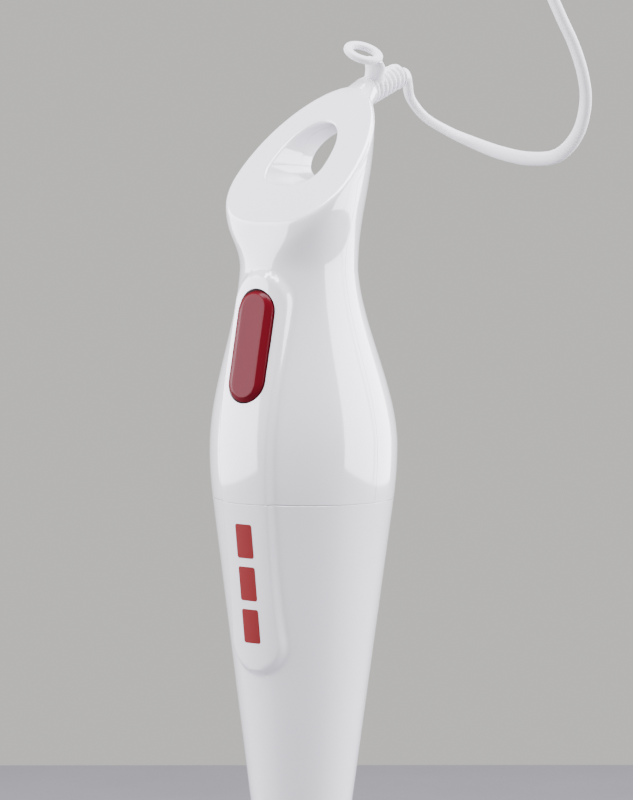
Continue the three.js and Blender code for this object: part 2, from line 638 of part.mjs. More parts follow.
// From the sleeve: a sag to the side, a rise, an arch, a long drop, and a run up to the coil.
const CORD_ROUTE = [
  v3(0, 50.9, 368.3), v3(-1, 56, 368.6), v3(-4, 61, 366), v3(-6.5, 66, 360.5), v3(-4, 71, 354),
  v3(4.5, 74, 348.8), v3(16.5, 72.6, 345), v3(30, 69.7, 341.8), v3(45, 66, 340), v3(61, 60.8, 341.6),
  v3(71, 57.6, 349), v3(76.3, 54.2, 359.5), v3(78, 50, 368.5), v3(77.2, 45.7, 378.2), v3(74.6, 41.4, 388),
  v3(72, 38.7, 397), v3(71, 38, 406), v3(73, 41, 416), v3(80, 48, 424), v3(89, 57, 426.5),
  v3(98, 66, 422), v3(104, 73, 410), v3(107, 77, 392), v3(108, 79, 360), v3(108, 79, 310),
  v3(108, 79, 250), v3(108, 79, 190), v3(108, 79, 130), v3(108, 79, 80), v3(108, 80.5, 45),
  v3(106.5, 86, 20), v3(101, 93.5, 6.5), v3(92, 99.5, 3), v3(80, 102.3, 2.7), v3(68, 101.8, 2.7),
  v3(57, 98.6, 2.7),
];

function powerCord() {
  return sweep(CORD_ROUTE, CORD.width, CORD.thick, CORD.steps, CORD.sides / 2);
}

function cordCoil() {
  const inner = COIL.turnR - COIL.halfWidth;
  const outer = COIL.turnR + COIL.halfWidth;
  return turned([
    [inner, 1.5], [inner + 1.5, 0], [outer - 1.5, 0], [outer, 1.5], [outer, COIL.height - 1.5],
    [outer - 1.5, COIL.height], [inner + 1.5, COIL.height], [inner, COIL.height - 1.5],
  ], 26).translate([COIL.x, COIL.y, 0]);
}

// ---- Blending foot ------------------------------------------------------------------------------

function blendingFoot() {
  const outline = new THREE.SplineCurve([
    [35, 16], [32, 25.5], [25.5, 35], [17.5, 44], [13.3, 54], [12.2, 66], [12.6, 78], [15.2, 88], [17.6, 96],
  ].map(([r, z]) => new THREE.Vector2(r, z)));
  const inside = new THREE.SplineCurve([
    [10.6, 43.5], [16, 41], [22.5, 34.6], [29.5, 25.5], [32.6, 15],
  ].map(([r, z]) => new THREE.Vector2(r, z)));
  const profile = [
    [BELL.r - BELL.wall, 0], [BELL.r, 0], ...outline.getPoints(9).map((p) => [p.x, p.y]),
    [16.7, COLLAR_TOP_Z], [SOCKET.r, COLLAR_TOP_Z], [SOCKET.r, SOCKET.z], [FOOT_BORE, SOCKET.z],
    [FOOT_BORE, 30], [9.4, 30], [9.4, 40], ...inside.getPoints(5).map((p) => [p.x, p.y]),
  ];
  let made = turned(profile, 32);
  for (const turn of [45, 135]) made = made.subtract(notchCutter(turn));
  for (const turn of [0, 180]) {
    made = made.subtract(wedge(SOCKET.grooveR, turn, SOCKET.clearAngle, LUG.z0 - 1.2, 130));
    const sweepAngle = SOCKET.clearAngle + LOCK_TURN / 2;
    made = made.subtract(wedge(SOCKET.grooveR, turn - LOCK_TURN / 2, sweepAngle, LUG.z0 - 1.2, LUG.z1 + 1));
  }
  return made;
}

// An arched cut right across the bell's rim, so that food can circulate.
function notchCutter(turn) {
  const shape = new THREE.Shape();
  const half = BELL.notchWidth / 2;
  shape.moveTo(-half, -5);
  shape.lineTo(half, -5);
  shape.lineTo(half, BELL.notchHeight - 5);
  shape.absellipse(0, BELL.notchHeight - 5, half, 5, 0, Math.PI, false, 0);
  return prismY(shape, -FAR, FAR, 5).rotate([0, 0, turn]);
}

const footBush = (z0) => pipe(FOOT_BORE - GAP, BORE_R - 0.5, z0, z0 + 8, 24);

const bladeShaft = () => disc(2, 7, 99, 16);

// Two dogs that the drive bar pushes, with room between them for the lock's turn.
function drivenCoupling() {
  const dogs = [90, 270].map((turn) => wedge(6.5, turn, 20, 97, 107).subtract(disc(2.9, 90, 110, 20)));
  return pipe(6.5, 2.3, 95.5, 100.5, 28).add(dogs[0]).add(dogs[1])
    .subtract(disc(2.3, 90, 120, 16));
}

// A two-winged blade: each wing is swept, and its tip is bent up or down.
function blade() {
  const wing = new THREE.Shape();
  wing.moveTo(0, -BLADE.width / 2);
  wing.lineTo(BLADE.reach * 0.62, -BLADE.width / 2 + 0.6);
  wing.quadraticCurveTo(BLADE.reach * 0.95, -1.5, BLADE.reach, BLADE.width / 2);
  wing.lineTo(0, BLADE.width / 2);
  wing.closePath();
  const flat = new THREE.ExtrudeGeometry(wing, {
    depth: BLADE.thick, bevelEnabled: false, curveSegments: 6,
  });
  const one = solid(flat.clone().rotateY(rad(-9)).translate(0, 0, BLADE.z));
  const other = solid(flat.clone().rotateY(rad(7)).rotateZ(Math.PI).translate(0, 0, BLADE.z));
  return one.add(other).add(disc(5.2, BLADE.z - 0.8, BLADE.z + 2.6, 24)).subtract(disc(2.3, 0, 40, 16));
}

function bladeNut() {
  const nut = new THREE.CylinderGeometry(4.2, 4.2, 2.6, 6).rotateX(Math.PI / 2).translate(0, 0, 8.5);
  return solid(nut).subtract(disc(2.3, 0, 20, 16));
}

// ---- Plug and tie -------------------------------------------------------------------------------

const PLUG = { x: 66, y: 64, z: 17.6, turn: 42, length: 33, width: 26, thick: 13, tailWidth: 6.8 };
const PIN = { y: 9.3, r: 2, tipR: 1.3, length: 18.7, shoulder: 17.5 };

function placePlug(made) {
  return made.rotate([0, 0, PLUG.turn]).translate([PLUG.x, PLUG.y, PLUG.z]);
}

// A flat two-pin plug, narrow where the cord enters.
function plugBody() {
  const half = PLUG.length / 2;
  const side = PLUG.width / 2;
  const tail = PLUG.tailWidth / 2;
  const shape = new THREE.Shape();
  shape.moveTo(-half, -tail);
  shape.bezierCurveTo(-half + 8, -tail - 1, -2, -side, 6, -side);
  shape.lineTo(half, -side + 3);
  shape.lineTo(half, side - 3);
  shape.lineTo(6, side);
  shape.bezierCurveTo(-2, side, -half + 8, tail + 1, -half, tail);
  shape.closePath();
  const body = new THREE.ExtrudeGeometry(shape, {
    depth: PLUG.thick - 3, bevelEnabled: true, bevelThickness: 1.5, bevelSize: 1, bevelSegments: 2,
    curveSegments: 8,
  });
  return placePlug(solid(body.translate(0, 0, -(PLUG.thick - 3) / 2)));
}

function plugPin(side) {
  const start = PLUG.length / 2 + 1 + GAP;
  const y = side * PIN.y;
  const body = rod(v3(start, y, 0), v3(start + PIN.shoulder, y, 0), PIN.r, 12);
  const tip = rod(v3(start + PIN.shoulder - 0.5, y, 0), v3(start + PIN.length, y, 0), PIN.tipR, 12);
  return placePlug(body.add(tip));
}

// A strap bent over the coil like a bridge.
function cordTie() {
  const { thick, halfWidth } = TIE;
  const half = COIL.halfWidth + GAP;
  const top = COIL.height + GAP;
  const band = block(-half - thick, half + thick, -halfWidth, halfWidth, GAP / 2, top + thick)
    .subtract(block(-half, half, -halfWidth - 1, halfWidth + 1, -5, top - GAP));
  return band.translate([COIL.x - COIL.turnR, COIL.y, 0]);
}

// ---- Colours and assembly -----------------------------------------------------------------------

const finish = (color, roughness, metalness = 0) => ({ color, roughness, metalness });
const WHITE_PLASTIC = finish(0xdcdce4, 0.28);
const RED_PLASTIC = finish(0x7a1420, 0.2);
const WHITE_RUBBER = finish(0xc9c9cf, 0.5);
const WHITE_CORD = finish(0xd2d2d6, 0.42);
const DARK_PLASTIC = finish(0x2b2b2e, 0.5);
const GREY_PLASTIC = finish(0x8a8d92, 0.45);
const STEEL = finish(0xb9bcc0, 0.3, 1);
const STATOR_STEEL = finish(0x6f7276, 0.45, 1);
const COPPER = finish(0xb06a3a, 0.35, 1);
const BRONZE = finish(0xa77b45, 0.4, 1);
const CARBON = finish(0x1d1d1f, 0.7);
const BOARD_GREEN = finish(0x2c5a3c, 0.5);
const BRASS = finish(0xc3a25a, 0.3, 1);

const blender = new THREE.Group();

function add(group, name, made, look) {
  const mesh = new THREE.Mesh(geometryOf(made), new THREE.MeshStandardMaterial(look));
  mesh.name = name;
  group.add(mesh);
}

function housingGroup() {
  const group = new THREE.Group();
  add(group, 'front_shell', frontShell(), WHITE_PLASTIC);
  add(group, 'rear_shell', rearShell(), WHITE_PLASTIC);
  add(group, 'motor_housing', motorHousing(), WHITE_PLASTIC);
  add(group, 'shell_screw', shellScrew(), STEEL);
  add(group, 'coupling_nose', couplingNose(), GREY_PLASTIC);
  add(group, 'nose_bush', pipe(5.7, BORE_R, NOSE.z1 - 6, NOSE.z1, 24), BRONZE);
  add(group, 'circuit_board', circuitBoard(), BOARD_GREEN);
  add(group, 'rectifier', block(-8, 2, BOARD.y1 + GAP, 4.4, 286, 298), DARK_PLASTIC);
  add(group, 'capacitor', block(-6, 8, BOARD.y1 + GAP, 6.4, 266, 283), GREY_PLASTIC);
  add(group, 'microswitch', microswitch(), DARK_PLASTIC);
  add(group, 'button_spring', buttonSpring(), STEEL);
  add(group, 'inner_lead', sweep(LEAD_ROUTE, 3, 2.2, 36, 4), WHITE_CORD);
  return group;
}

function motorGroup() {
  const group = new THREE.Group();
  add(group, 'motor_can', motorCan(), STATOR_STEEL);
  add(group, 'motor_lower_bracket', lowerBracket(), GREY_PLASTIC);
  add(group, 'motor_end_cap', endCap(), GREY_PLASTIC);
  add(group, 'mount_ring', pipe(23.2, 21.8, 191.2, 195.4, 28), DARK_PLASTIC);
  add(group, 'brush_left', brush(-1), CARBON);
  add(group, 'brush_right', brush(1), CARBON);
  add(group, 'upper_bearing', bearing(END_CAP.z1 + GAP), BRONZE);
  add(group, 'lower_bearing', bearing(BRACKET.z0 + 1.6 + GAP), BRONZE);
  add(group, 'stator_screw_left', statorScrew(-1), STEEL);
  add(group, 'stator_screw_right', statorScrew(1), STEEL);
  return group;
}

function buttonGroup() {
  const group = new THREE.Group();
  add(group, 'button_cap', buttonCap(), RED_PLASTIC);
  add(group, 'switch_plunger', switchPlunger(), DARK_PLASTIC);
  return group;
}

function rotorGroup() {
  const group = new THREE.Group();
  add(group, 'motor_shaft', motorShaft(), STEEL);
  add(group, 'armature', armature(), COPPER);
  add(group, 'commutator', commutator(), COPPER);
  add(group, 'cooling_fan', coolingFan(), DARK_PLASTIC);
  add(group, 'drive_dog', driveDog(), DARK_PLASTIC);
  return group;
}

function footGroup() {
  const group = new THREE.Group();
  add(group, 'foot_gasket', pipe(GASKET.r, GASKET.bore, GASKET.z0, GASKET.z1, 28), DARK_PLASTIC);
  add(group, 'blending_foot', blendingFoot(), WHITE_PLASTIC);
  add(group, 'foot_bush_upper', footBush(84), BRONZE);
  add(group, 'foot_bush_lower', footBush(38), BRONZE);
  add(group, 'shaft_seal', pipe(FOOT_BORE - GAP, BORE_R - 0.5, 31, 36, 24), DARK_PLASTIC);
  return group;
}

function bladeGroup() {
  const group = new THREE.Group();
  add(group, 'blade_shaft', bladeShaft(), STEEL);
  add(group, 'driven_coupling', drivenCoupling(), DARK_PLASTIC);
  add(group, 'blade', blade(), STEEL);
  add(group, 'blade_nut', bladeNut(), STEEL);
  return group;
}

function cordGroup() {
  const group = new THREE.Group();
  add(group, 'strain_relief', strainRelief(), WHITE_RUBBER);
  add(group, 'power_cord', powerCord(), WHITE_CORD);
  add(group, 'cord_coil', cordCoil(), WHITE_CORD);
  add(group, 'cord_tie', cordTie(), DARK_PLASTIC);
  add(group, 'plug_body', plugBody(), WHITE_CORD);
  add(group, 'plug_pin_left', plugPin(-1), BRASS);
  add(group, 'plug_pin_right', plugPin(1), BRASS);
  return group;
}

blender.add(
  housingGroup(), motorGroup(), buttonGroup(), rotorGroup(), footGroup(), bladeGroup(), cordGroup(),
);

export default blender;
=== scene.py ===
# Immersion blender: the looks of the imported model, in its own frame.
import json
import math

import bmesh
import bpy
import numpy as np
from mathutils import Matrix, Vector
from mathutils.bvhtree import BVHTree


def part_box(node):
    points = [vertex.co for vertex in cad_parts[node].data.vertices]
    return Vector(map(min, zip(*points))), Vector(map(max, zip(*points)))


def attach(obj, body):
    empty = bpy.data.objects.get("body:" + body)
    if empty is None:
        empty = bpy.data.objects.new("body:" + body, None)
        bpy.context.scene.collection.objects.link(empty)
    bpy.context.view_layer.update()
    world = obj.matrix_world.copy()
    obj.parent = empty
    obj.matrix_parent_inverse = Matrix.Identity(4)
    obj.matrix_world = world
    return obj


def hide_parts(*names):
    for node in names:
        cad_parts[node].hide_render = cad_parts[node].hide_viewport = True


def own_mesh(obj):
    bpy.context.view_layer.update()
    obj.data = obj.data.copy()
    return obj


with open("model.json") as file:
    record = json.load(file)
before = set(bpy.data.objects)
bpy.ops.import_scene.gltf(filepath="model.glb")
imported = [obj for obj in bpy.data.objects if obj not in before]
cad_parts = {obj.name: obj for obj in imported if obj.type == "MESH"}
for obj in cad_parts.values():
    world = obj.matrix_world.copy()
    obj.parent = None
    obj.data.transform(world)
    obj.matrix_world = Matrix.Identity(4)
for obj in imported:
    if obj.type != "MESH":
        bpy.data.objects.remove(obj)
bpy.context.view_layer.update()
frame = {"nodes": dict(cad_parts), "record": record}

MM = 0.001  # shapes are worked out in millimetres and made in metres


# ---- Sizes, in millimetres ----------------------------------------------------------------------

GAP = 0.3
SPLIT_GAP, SEAM_GAP, LINING_GAP = 0.12, 0.12, 0.06  # the lines that show between the pieces of the housing
WALL = 2.2
HIP_Z, HIP_R = 243.0, 31.7
NECK_Z, NECK_R, NECK_FORWARD = 307.0, 19.7, 3.0
HIP_BULGE = 0.0038
SPLIT_Z = 1000 * (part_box("motor_housing")[1].z) - 5.0  # its spigot stands 5 above the split
HIP_DROP = HIP_Z - SPLIT_Z
SPLIT_R = HIP_R - HIP_BULGE * HIP_DROP ** 2
CONE_SLOPE = 2 * HIP_BULGE * HIP_DROP
BODY_FOOT_Z = 1000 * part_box("motor_housing")[0].z
HEAD_BASE_Z = 303.0

FACE_Z, FACE_TILT, FACE_MIDDLE = 338.9, math.radians(44), -8.0
FACE_HALF_WIDTH, FACE_UPPER, FACE_LOWER = 25.0, 43.0, 23.4
FACE_UPPER_POWER, FACE_LOWER_POWER = 1.15, 0.7
RIM_INSET, RIM_RISE, RIM_REACH, FACE_CROWN = 3.8, 1.5, 2.2, 1.5
FACE_SLAB = 4.0

HOLE_Z, HOLE_HALF_WIDTH, HOLE_UP, HOLE_DOWN = 337.5, 11.4, 19.4, 6.5
HOLE_REAR_UP, HOLE_REAR_DOWN, HOLE_REAR_NARROWER = 12.0, 6.0, 0.3
HOLE_UPPER_POWER, HOLE_LOWER_POWER = 1.15, 0.7
HOLE_WALL, HOLE_PARTING_Y, HOLE_FRONT_Y, HOLE_REAR_Y = 1.8, 12.0, -4.0, 19.0

PAD_STEP, PAD_PROUD, PAD_TOP_Z, PAD_TOP_R, PAD_BOTTOM_Z, PAD_BOTTOM_R = 1.2, 2.0, 291.5, 12.0, 179.0, 11.5
PAD_EDGE = 3.0  # width of the pad's soft edge
PAD_SIDE_UPPER, PAD_SIDE_LOWER = (12.8, 250), (9.1, 203)  # the points that draw its right side in, in X and Z
BUTTON_Z, BUTTON_LENGTH, BUTTON_WIDTH, BUTTON_TILT = 278.0, 37.6, 14.7, math.radians(11.5)
BUTTON_PROUD, BUTTON_GAP = 1.7, 0.5

OUTLET_Y, OUTLET_Z, OUTLET_RISE = 34.2, 362.9, math.radians(18)


# ---- Camera -------------------------------------------------------------------------------------

VIEW_AZIMUTH = math.radians(39.1)
VIEW_DISTANCE = 1.3
VIEW_HEIGHT = 0.358
AIM_HEIGHT = 0.2587
AIM_RIGHT = 0.00427
VIEW_ROLL = math.radians(0.35)
LENS = 174.1


def make_camera():
    data = bpy.data.cameras.new("camera")
    data.lens = LENS
    camera = bpy.data.objects.new("camera", data)
    bpy.context.scene.collection.objects.link(camera)
    level_right = Vector((math.cos(VIEW_AZIMUTH), math.sin(VIEW_AZIMUTH), 0))
    away = Vector((math.sin(VIEW_AZIMUTH), -math.cos(VIEW_AZIMUTH), 0))
    place = away * VIEW_DISTANCE + Vector((0, 0, VIEW_HEIGHT))
    aim = Vector((0, 0, AIM_HEIGHT)) + AIM_RIGHT * level_right
    forward = (aim - place).normalized()
    right = forward.cross(Vector((0, 0, 1))).normalized()
    up = right.cross(forward)
    rolled_right = math.cos(VIEW_ROLL) * right + math.sin(VIEW_ROLL) * up
    rolled_up = rolled_right.cross(forward)
    turn = Matrix((rolled_right, rolled_up, -forward)).transposed().to_4x4()
    camera.matrix_world = Matrix.Translation(place) @ turn
    bpy.context.scene.camera = camera


make_camera()


# ---- Mesh helpers -------------------------------------------------------------------------------

def make_object(name, points, faces, scale=MM):
    """A mesh object at the origin, from points in millimetres."""
    mesh = bpy.data.meshes.new(name)
    mesh.from_pydata((np.asarray(points, float) * scale).tolist(), [], [tuple(map(int, f)) for f in faces])
    mesh.validate()
    mesh.update()
    made = bpy.data.objects.new(name, mesh)
    bpy.context.scene.collection.objects.link(made)
    return made


def loft_faces(rings, count, closed=False):
    """Quads between rings of points, and from the last ring to the first one if closed."""
    faces = []
    spans = rings if closed else rings - 1
    for k in range(spans):
        low, high = k * count, ((k + 1) % rings) * count
        faces += [(low + i, low + (i + 1) % count, high + (i + 1) % count, high + i) for i in range(count)]
    return faces


def loft(name, rings):
    """A closed solid through rings of equal length, from bottom to top."""
    rings = [np.asarray(r, float) for r in rings]
    count = len(rings[0])
    points = np.concatenate(rings + [rings[0].mean(0)[None], rings[-1].mean(0)[None]])
    faces = loft_faces(len(rings), count)
    first, last = len(points) - 2, len(points) - 1
    top = (len(rings) - 1) * count
    faces += [((i + 1) % count, i, first) for i in range(count)]
    faces += [(top + i, top + (i + 1) % count, last) for i in range(count)]
    return outward(make_object(name, points, faces))


def outward(made):
    """Turns a closed mesh's faces outwards."""
    mesh = made.data
    mesh.calc_loop_triangles()
    volume = 0.0
    for t in mesh.loop_triangles:
        a, b, c = (mesh.vertices[i].co for i in t.vertices)
        volume += a.dot(b.cross(c))
    if volume < 0:
        mesh.flip_normals()
    return made


def lathe(name, profile, segments=96):
    """A turned ring about Z, from a profile of (radius, z) that closes on itself and stays off the axis."""
    angles = np.linspace(0, 2 * math.pi, segments, endpoint=False)
    c, s = np.cos(angles), np.sin(angles)
    rings = [np.stack([r * c, r * s, np.full(segments, float(z))], 1) for r, z in profile]
    faces = loft_faces(len(rings), segments, closed=True)
    return outward(make_object(name, np.concatenate(rings), faces))


def rounded(profile, radius=0.4, steps=3):
    """The same closed profile with its corners rounded."""
    points = [np.array(p, float) for p in profile]
    made = []
    for k, corner in enumerate(points):
        before, after = points[k - 1] - corner, points[(k + 1) % len(points)] - corner
        reach = min(radius, 0.45 * np.linalg.norm(before), 0.45 * np.linalg.norm(after))
        start = corner + reach * before / np.linalg.norm(before)
        end = corner + reach * after / np.linalg.norm(after)
        for t in np.linspace(0, 1, steps):
            made.append((1 - t) ** 2 * start + 2 * t * (1 - t) * corner + t * t * end)
    return made


def check_closed(made):
    """Stops the script at an open solid: Blender would leave out its cut or join with only a warning."""
    edges = np.zeros(len(made.data.loops), int)
    made.data.loops.foreach_get("edge_index", edges)
    if len(edges) == 0 or (np.bincount(edges, minlength=len(made.data.edges)) != 2).any():
        raise ValueError(made.name + " isn't a closed solid")


def boolean(target, tools, how="DIFFERENCE"):
    """Joins or cuts target by each tool in turn, and removes the tools."""
    for tool in tools:
        check_closed(target)
        check_closed(tool)
        modifier = target.modifiers.new("cut", "BOOLEAN")
        modifier.operation = how
        modifier.solver = "MANIFOLD"
        modifier.object = tool
        bpy.context.view_layer.update()
        graph = bpy.context.evaluated_depsgraph_get()
        mesh = bpy.data.meshes.new_from_object(target.evaluated_get(graph))
        target.modifiers.clear()
        old = target.data
        target.data = mesh
        bpy.data.meshes.remove(old)
        bpy.data.objects.remove(tool)
    return target


def drop_folded_faces(made):
    """Removes each pair of faces that lie on the same points, which a cut can leave on a thin edge."""
    solid = bmesh.new()
    solid.from_mesh(made.data)
    seen, folded = {}, []
    for face in solid.faces:
        corners = frozenset(v.index for v in face.verts)
        if corners in seen:
            folded += [face, seen.pop(corners)]
        else:
            seen[corners] = face
    bmesh.ops.delete(solid, geom=folded, context="FACES")
    solid.to_mesh(made.data)
    solid.free()


def copy_of(made, name):
    twin = bpy.data.objects.new(name, made.data.copy())
    bpy.context.scene.collection.objects.link(twin)
    return twin


def shade(made, angle=30):
    """Smooth shading, with sharp edges kept where faces meet at more than the angle."""
    made.data.shade_smooth()
    made.data.set_sharp_from_angle(angle=math.radians(angle))
    return made


def box_tool(x0, x1, y0, y1, z0, z1):
    points = [(x, y, z) for z in (z0, z1) for y in (y0, y1) for x in (x0, x1)]
    faces = [(0, 2, 3, 1), (4, 5, 7, 6), (0, 1, 5, 4), (1, 3, 7, 5), (3, 2, 6, 7), (2, 0, 4, 6)]
    return make_object("tool", points, faces)


def rod_tool(start, end, radius, segments=32):
    start, end = np.array(start, float), np.array(end, float)
    axis = (end - start) / np.linalg.norm(end - start)
    side = np.cross(axis, (0, 0, 1) if abs(axis[2]) < 0.9 else (1, 0, 0))
    side /= np.linalg.norm(side)
    other = np.cross(axis, side)
    angles = np.linspace(0, 2 * math.pi, segments, endpoint=False)[:, None]
    ring = radius * (np.cos(angles) * side + np.sin(angles) * other)
    return loft("tool", [start + ring, end + ring])


def prism_tool(outline, low, high, axis):
    """A flat outline extruded between two values of one coordinate."""
    outline = np.asarray(outline, float)
    return loft("tool", [np.insert(outline, axis, value, axis=1) for value in (low, high)])


def finish_piece(made, body, look, *nodes, angle=30):
    """Cleans and shades a piece, gives it its look and its body, and hides the CAD nodes it replaces."""
    drop_folded_faces(made)
    shade(made, angle)
    made.data.materials.clear()
    made.data.materials.append(MATERIALS[look])
    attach(made, body)
    if nodes:
        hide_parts(*nodes)
    return made


# ---- Materials ----------------------------------------------------------------------------------

class Nodes:
    """A material's node tree, with short calls for the nodes used here."""

    def __init__(self, name):
        self.material = bpy.data.materials.new(name)
        self.material.use_nodes = True
        self.tree = self.material.node_tree
        self.shader = next(n for n in self.tree.nodes if n.type == "BSDF_PRINCIPLED")
        self.place = self.add("ShaderNodeTexCoord").outputs["Object"]

    def add(self, kind, **settings):
        node = self.tree.nodes.new(kind)
        for key, value in settings.items():
            setattr(node, key, value)
        return node

    def link(self, output, socket):
        self.tree.links.new(output, socket)

    def stretched(self, scale):
        mapping = self.add("ShaderNodeMapping")
        mapping.inputs["Scale"].default_value = scale
        self.link(self.place, mapping.inputs["Vector"])
        return mapping.outputs["Vector"]

    def noise(self, scale, detail=3.0, stretch=None, rough=0.5):
        node = self.add("ShaderNodeTexNoise")
        node.inputs["Scale"].default_value = scale
        node.inputs["Detail"].default_value = detail
        node.inputs["Roughness"].default_value = rough
        self.link(self.stretched(stretch) if stretch else self.place, node.inputs["Vector"])
        return node.outputs["Fac"]

    def bands(self, scale, direction="Z", distortion=0.0):
        node = self.add("ShaderNodeTexWave", wave_type="BANDS", bands_direction=direction)
        node.inputs["Scale"].default_value = scale
        node.inputs["Distortion"].default_value = distortion
        self.link(self.place, node.inputs["Vector"])
        return node.outputs["Fac"]

    def ramp(self, value, low, high, start=0.3, end=0.7):
        """A colour between low and high as value goes from start to end."""
        node = self.add("ShaderNodeValToRGB")
        node.color_ramp.elements[0].position = start
        node.color_ramp.elements[0].color = (*low, 1)
        node.color_ramp.elements[1].position = end
        node.color_ramp.elements[1].color = (*high, 1)
        self.link(value, node.inputs["Fac"])
        return node.outputs["Color"]

    def between(self, value, low, high):
        node = self.add("ShaderNodeMapRange")
        node.inputs["From Min"].default_value = 0.3
        node.inputs["From Max"].default_value = 0.7
        node.inputs["To Min"].default_value = low
        node.inputs["To Max"].default_value = high
        self.link(value, node.inputs["Value"])
        return node.outputs["Result"]

    def bump(self, height, strength, distance):
        node = self.add("ShaderNodeBump")
        node.inputs["Strength"].default_value = strength
        node.inputs["Distance"].default_value = distance
        self.link(height, node.inputs["Height"])
        self.link(node.outputs["Normal"], self.shader.inputs["Normal"])

    def colour(self, output):
        self.link(output, self.shader.inputs["Base Color"])

    def roughness(self, output):
        self.link(output, self.shader.inputs["Roughness"])

    def fix(self, **sockets):
        for name, value in sockets.items():
            self.shader.inputs[name.replace("_", " ")].default_value = value


def tinted(colour, share):
    return tuple(min(1.0, c * share) for c in colour)


def moulded(name, colour, roughness, spread=0.03, grain=900.0, depth=0.00002, **fixed):
    """Moulded plastic or rubber: faint flow mottling, uneven gloss and a fine skin texture."""
    made = Nodes(name)
    flow = made.noise(38.0, 4.0, stretch=(1.0, 1.0, 0.45))
    made.colour(made.ramp(flow, tinted(colour, 1 - spread), tinted(colour, 1 + spread)))
    made.roughness(made.between(made.noise(120.0, 5.0), roughness - 0.035, roughness + 0.045))
    made.bump(made.noise(grain, 4.0, rough=0.6), 0.25, depth)
    made.fix(**fixed)
    return made.material


def metal(name, colour, roughness, stretch, spread=0.08, depth=0.00002):
    """Drawn, turned or ground metal: fine streaks along its working direction."""
    made = Nodes(name)
    streaks = made.noise(260.0, 6.0, stretch=stretch, rough=0.65)
    made.colour(made.ramp(streaks, tinted(colour, 1 - spread), tinted(colour, 1 + spread)))
    made.roughness(made.between(streaks, roughness - 0.07, roughness + 0.1))
    made.bump(streaks, 0.35, depth)
    made.fix(Metallic=1.0)
    return made.material


def laminated(name, colour):
    """Stacked steel sheets."""
    made = Nodes(name)
    sheets = made.bands(320.0)
    made.colour(made.ramp(sheets, tinted(colour, 0.6), tinted(colour, 1.2), 0.2, 0.8))
    made.roughness(made.between(made.noise(200.0), 0.38, 0.55))
    made.bump(sheets, 0.5, 0.00008)
    made.fix(Metallic=0.9)
    return made.material


def wound(name, colour):
    """Copper wire and segments under varnish."""
    made = Nodes(name)
    turns = made.bands(480.0, "DIAGONAL", 0.6)
    made.colour(made.ramp(turns, tinted(colour, 0.65), tinted(colour, 1.15), 0.2, 0.8))
    made.roughness(made.between(made.noise(180.0), 0.28, 0.42))
    made.bump(turns, 0.5, 0.00006)
    made.fix(Metallic=0.95, Coat_Weight=0.4)
    return made.material


def coated_board(name, colour):
    made = Nodes(name)
    weave = made.bands(900.0, "X")
    made.colour(made.ramp(weave, tinted(colour, 0.8), tinted(colour, 1.25), 0.2, 0.8))
    made.roughness(made.between(made.noise(260.0), 0.35, 0.5))
    made.bump(weave, 0.3, 0.00002)
    return made.material


def record_colour(slot_name):
    return next(tuple(m["base_color"]) for m in frame["record"]["materials"] if m["slot"] == slot_name)


RED_PRINT, BUTTON_RED = (0.19, 0.016, 0.018), (0.1, 0.0015, 0.007)
ALONG_Z, ROUND_Z = (1.0, 1.0, 0.04), (0.05, 0.05, 1.0)


def make_materials():
    c = record_colour
    return {
        "white_plastic": moulded("white_plastic", c("white_plastic"), 0.2, 0.008, 1400.0, 0.000006,
                                 Coat_Weight=1.0, Coat_Roughness=0.07, Coat_IOR=1.95),
        "red_plastic": moulded("red_plastic", BUTTON_RED, 0.2, 0.05, 1500.0, 0.000004,
                               Specular_IOR_Level=0.13),
        "red_print": moulded("red_print", RED_PRINT, 0.5, 0.06, 900.0, 0.00001, Specular_IOR_Level=0.1),
        "white_rubber": moulded("white_rubber", c("white_rubber"), 0.48, 0.03, 1200.0, 0.00003,
                                Sheen_Weight=0.08),
        "white_cord": moulded("white_cord", c("white_cord"), 0.36, 0.02, 1300.0, 0.00002),
        "dark_plastic": moulded("dark_plastic", c("dark_plastic"), 0.48, 0.15, 900.0, 0.00004),
        "grey_plastic": moulded("grey_plastic", c("grey_plastic"), 0.5, 0.08, 800.0, 0.00005),
        "seal_rubber": moulded("seal_rubber", c("seal_rubber"), 0.6, 0.08, 1000.0, 0.00004),
        "carbon": moulded("carbon", c("carbon"), 0.65, 0.3, 1500.0, 0.00005),
        "steel": metal("steel", c("steel"), 0.3, ROUND_Z),
        "blade_steel": metal("blade_steel", c("blade_steel"), 0.2, (0.06, 1.0, 1.0)),
        "bronze": metal("bronze", c("bronze"), 0.42, (1.0, 1.0, 1.0), 0.18, 0.00006),
        "brass": metal("brass", c("brass"), 0.24, ALONG_Z, 0.06),
        "lamination_steel": laminated("lamination_steel", c("lamination_steel")),
        "copper": wound("copper", c("copper")),
        "board": coated_board("board", c("board")),
    }


MATERIALS = make_materials()


def paint_cad_nodes():
    slots = {s["node"]: s["material_slot"] for s in frame["record"]["subparts"]}
    for name, node in frame["nodes"].items():
        node.data.materials.clear()
        node.data.materials.append(MATERIALS[slots[name]])


paint_cad_nodes()


# ---- Curve helpers ------------------------------------------------------------------------------

def smooth(t):
    return t * t * (3 - 2 * t)


def power(value, exponent):
    return np.sign(value) * np.abs(value) ** exponent


def bezier(start, first, second, end, t):
    u = 1 - t
    return u ** 3 * start + 3 * u * u * t * first + 3 * u * t * t * second + t ** 3 * end


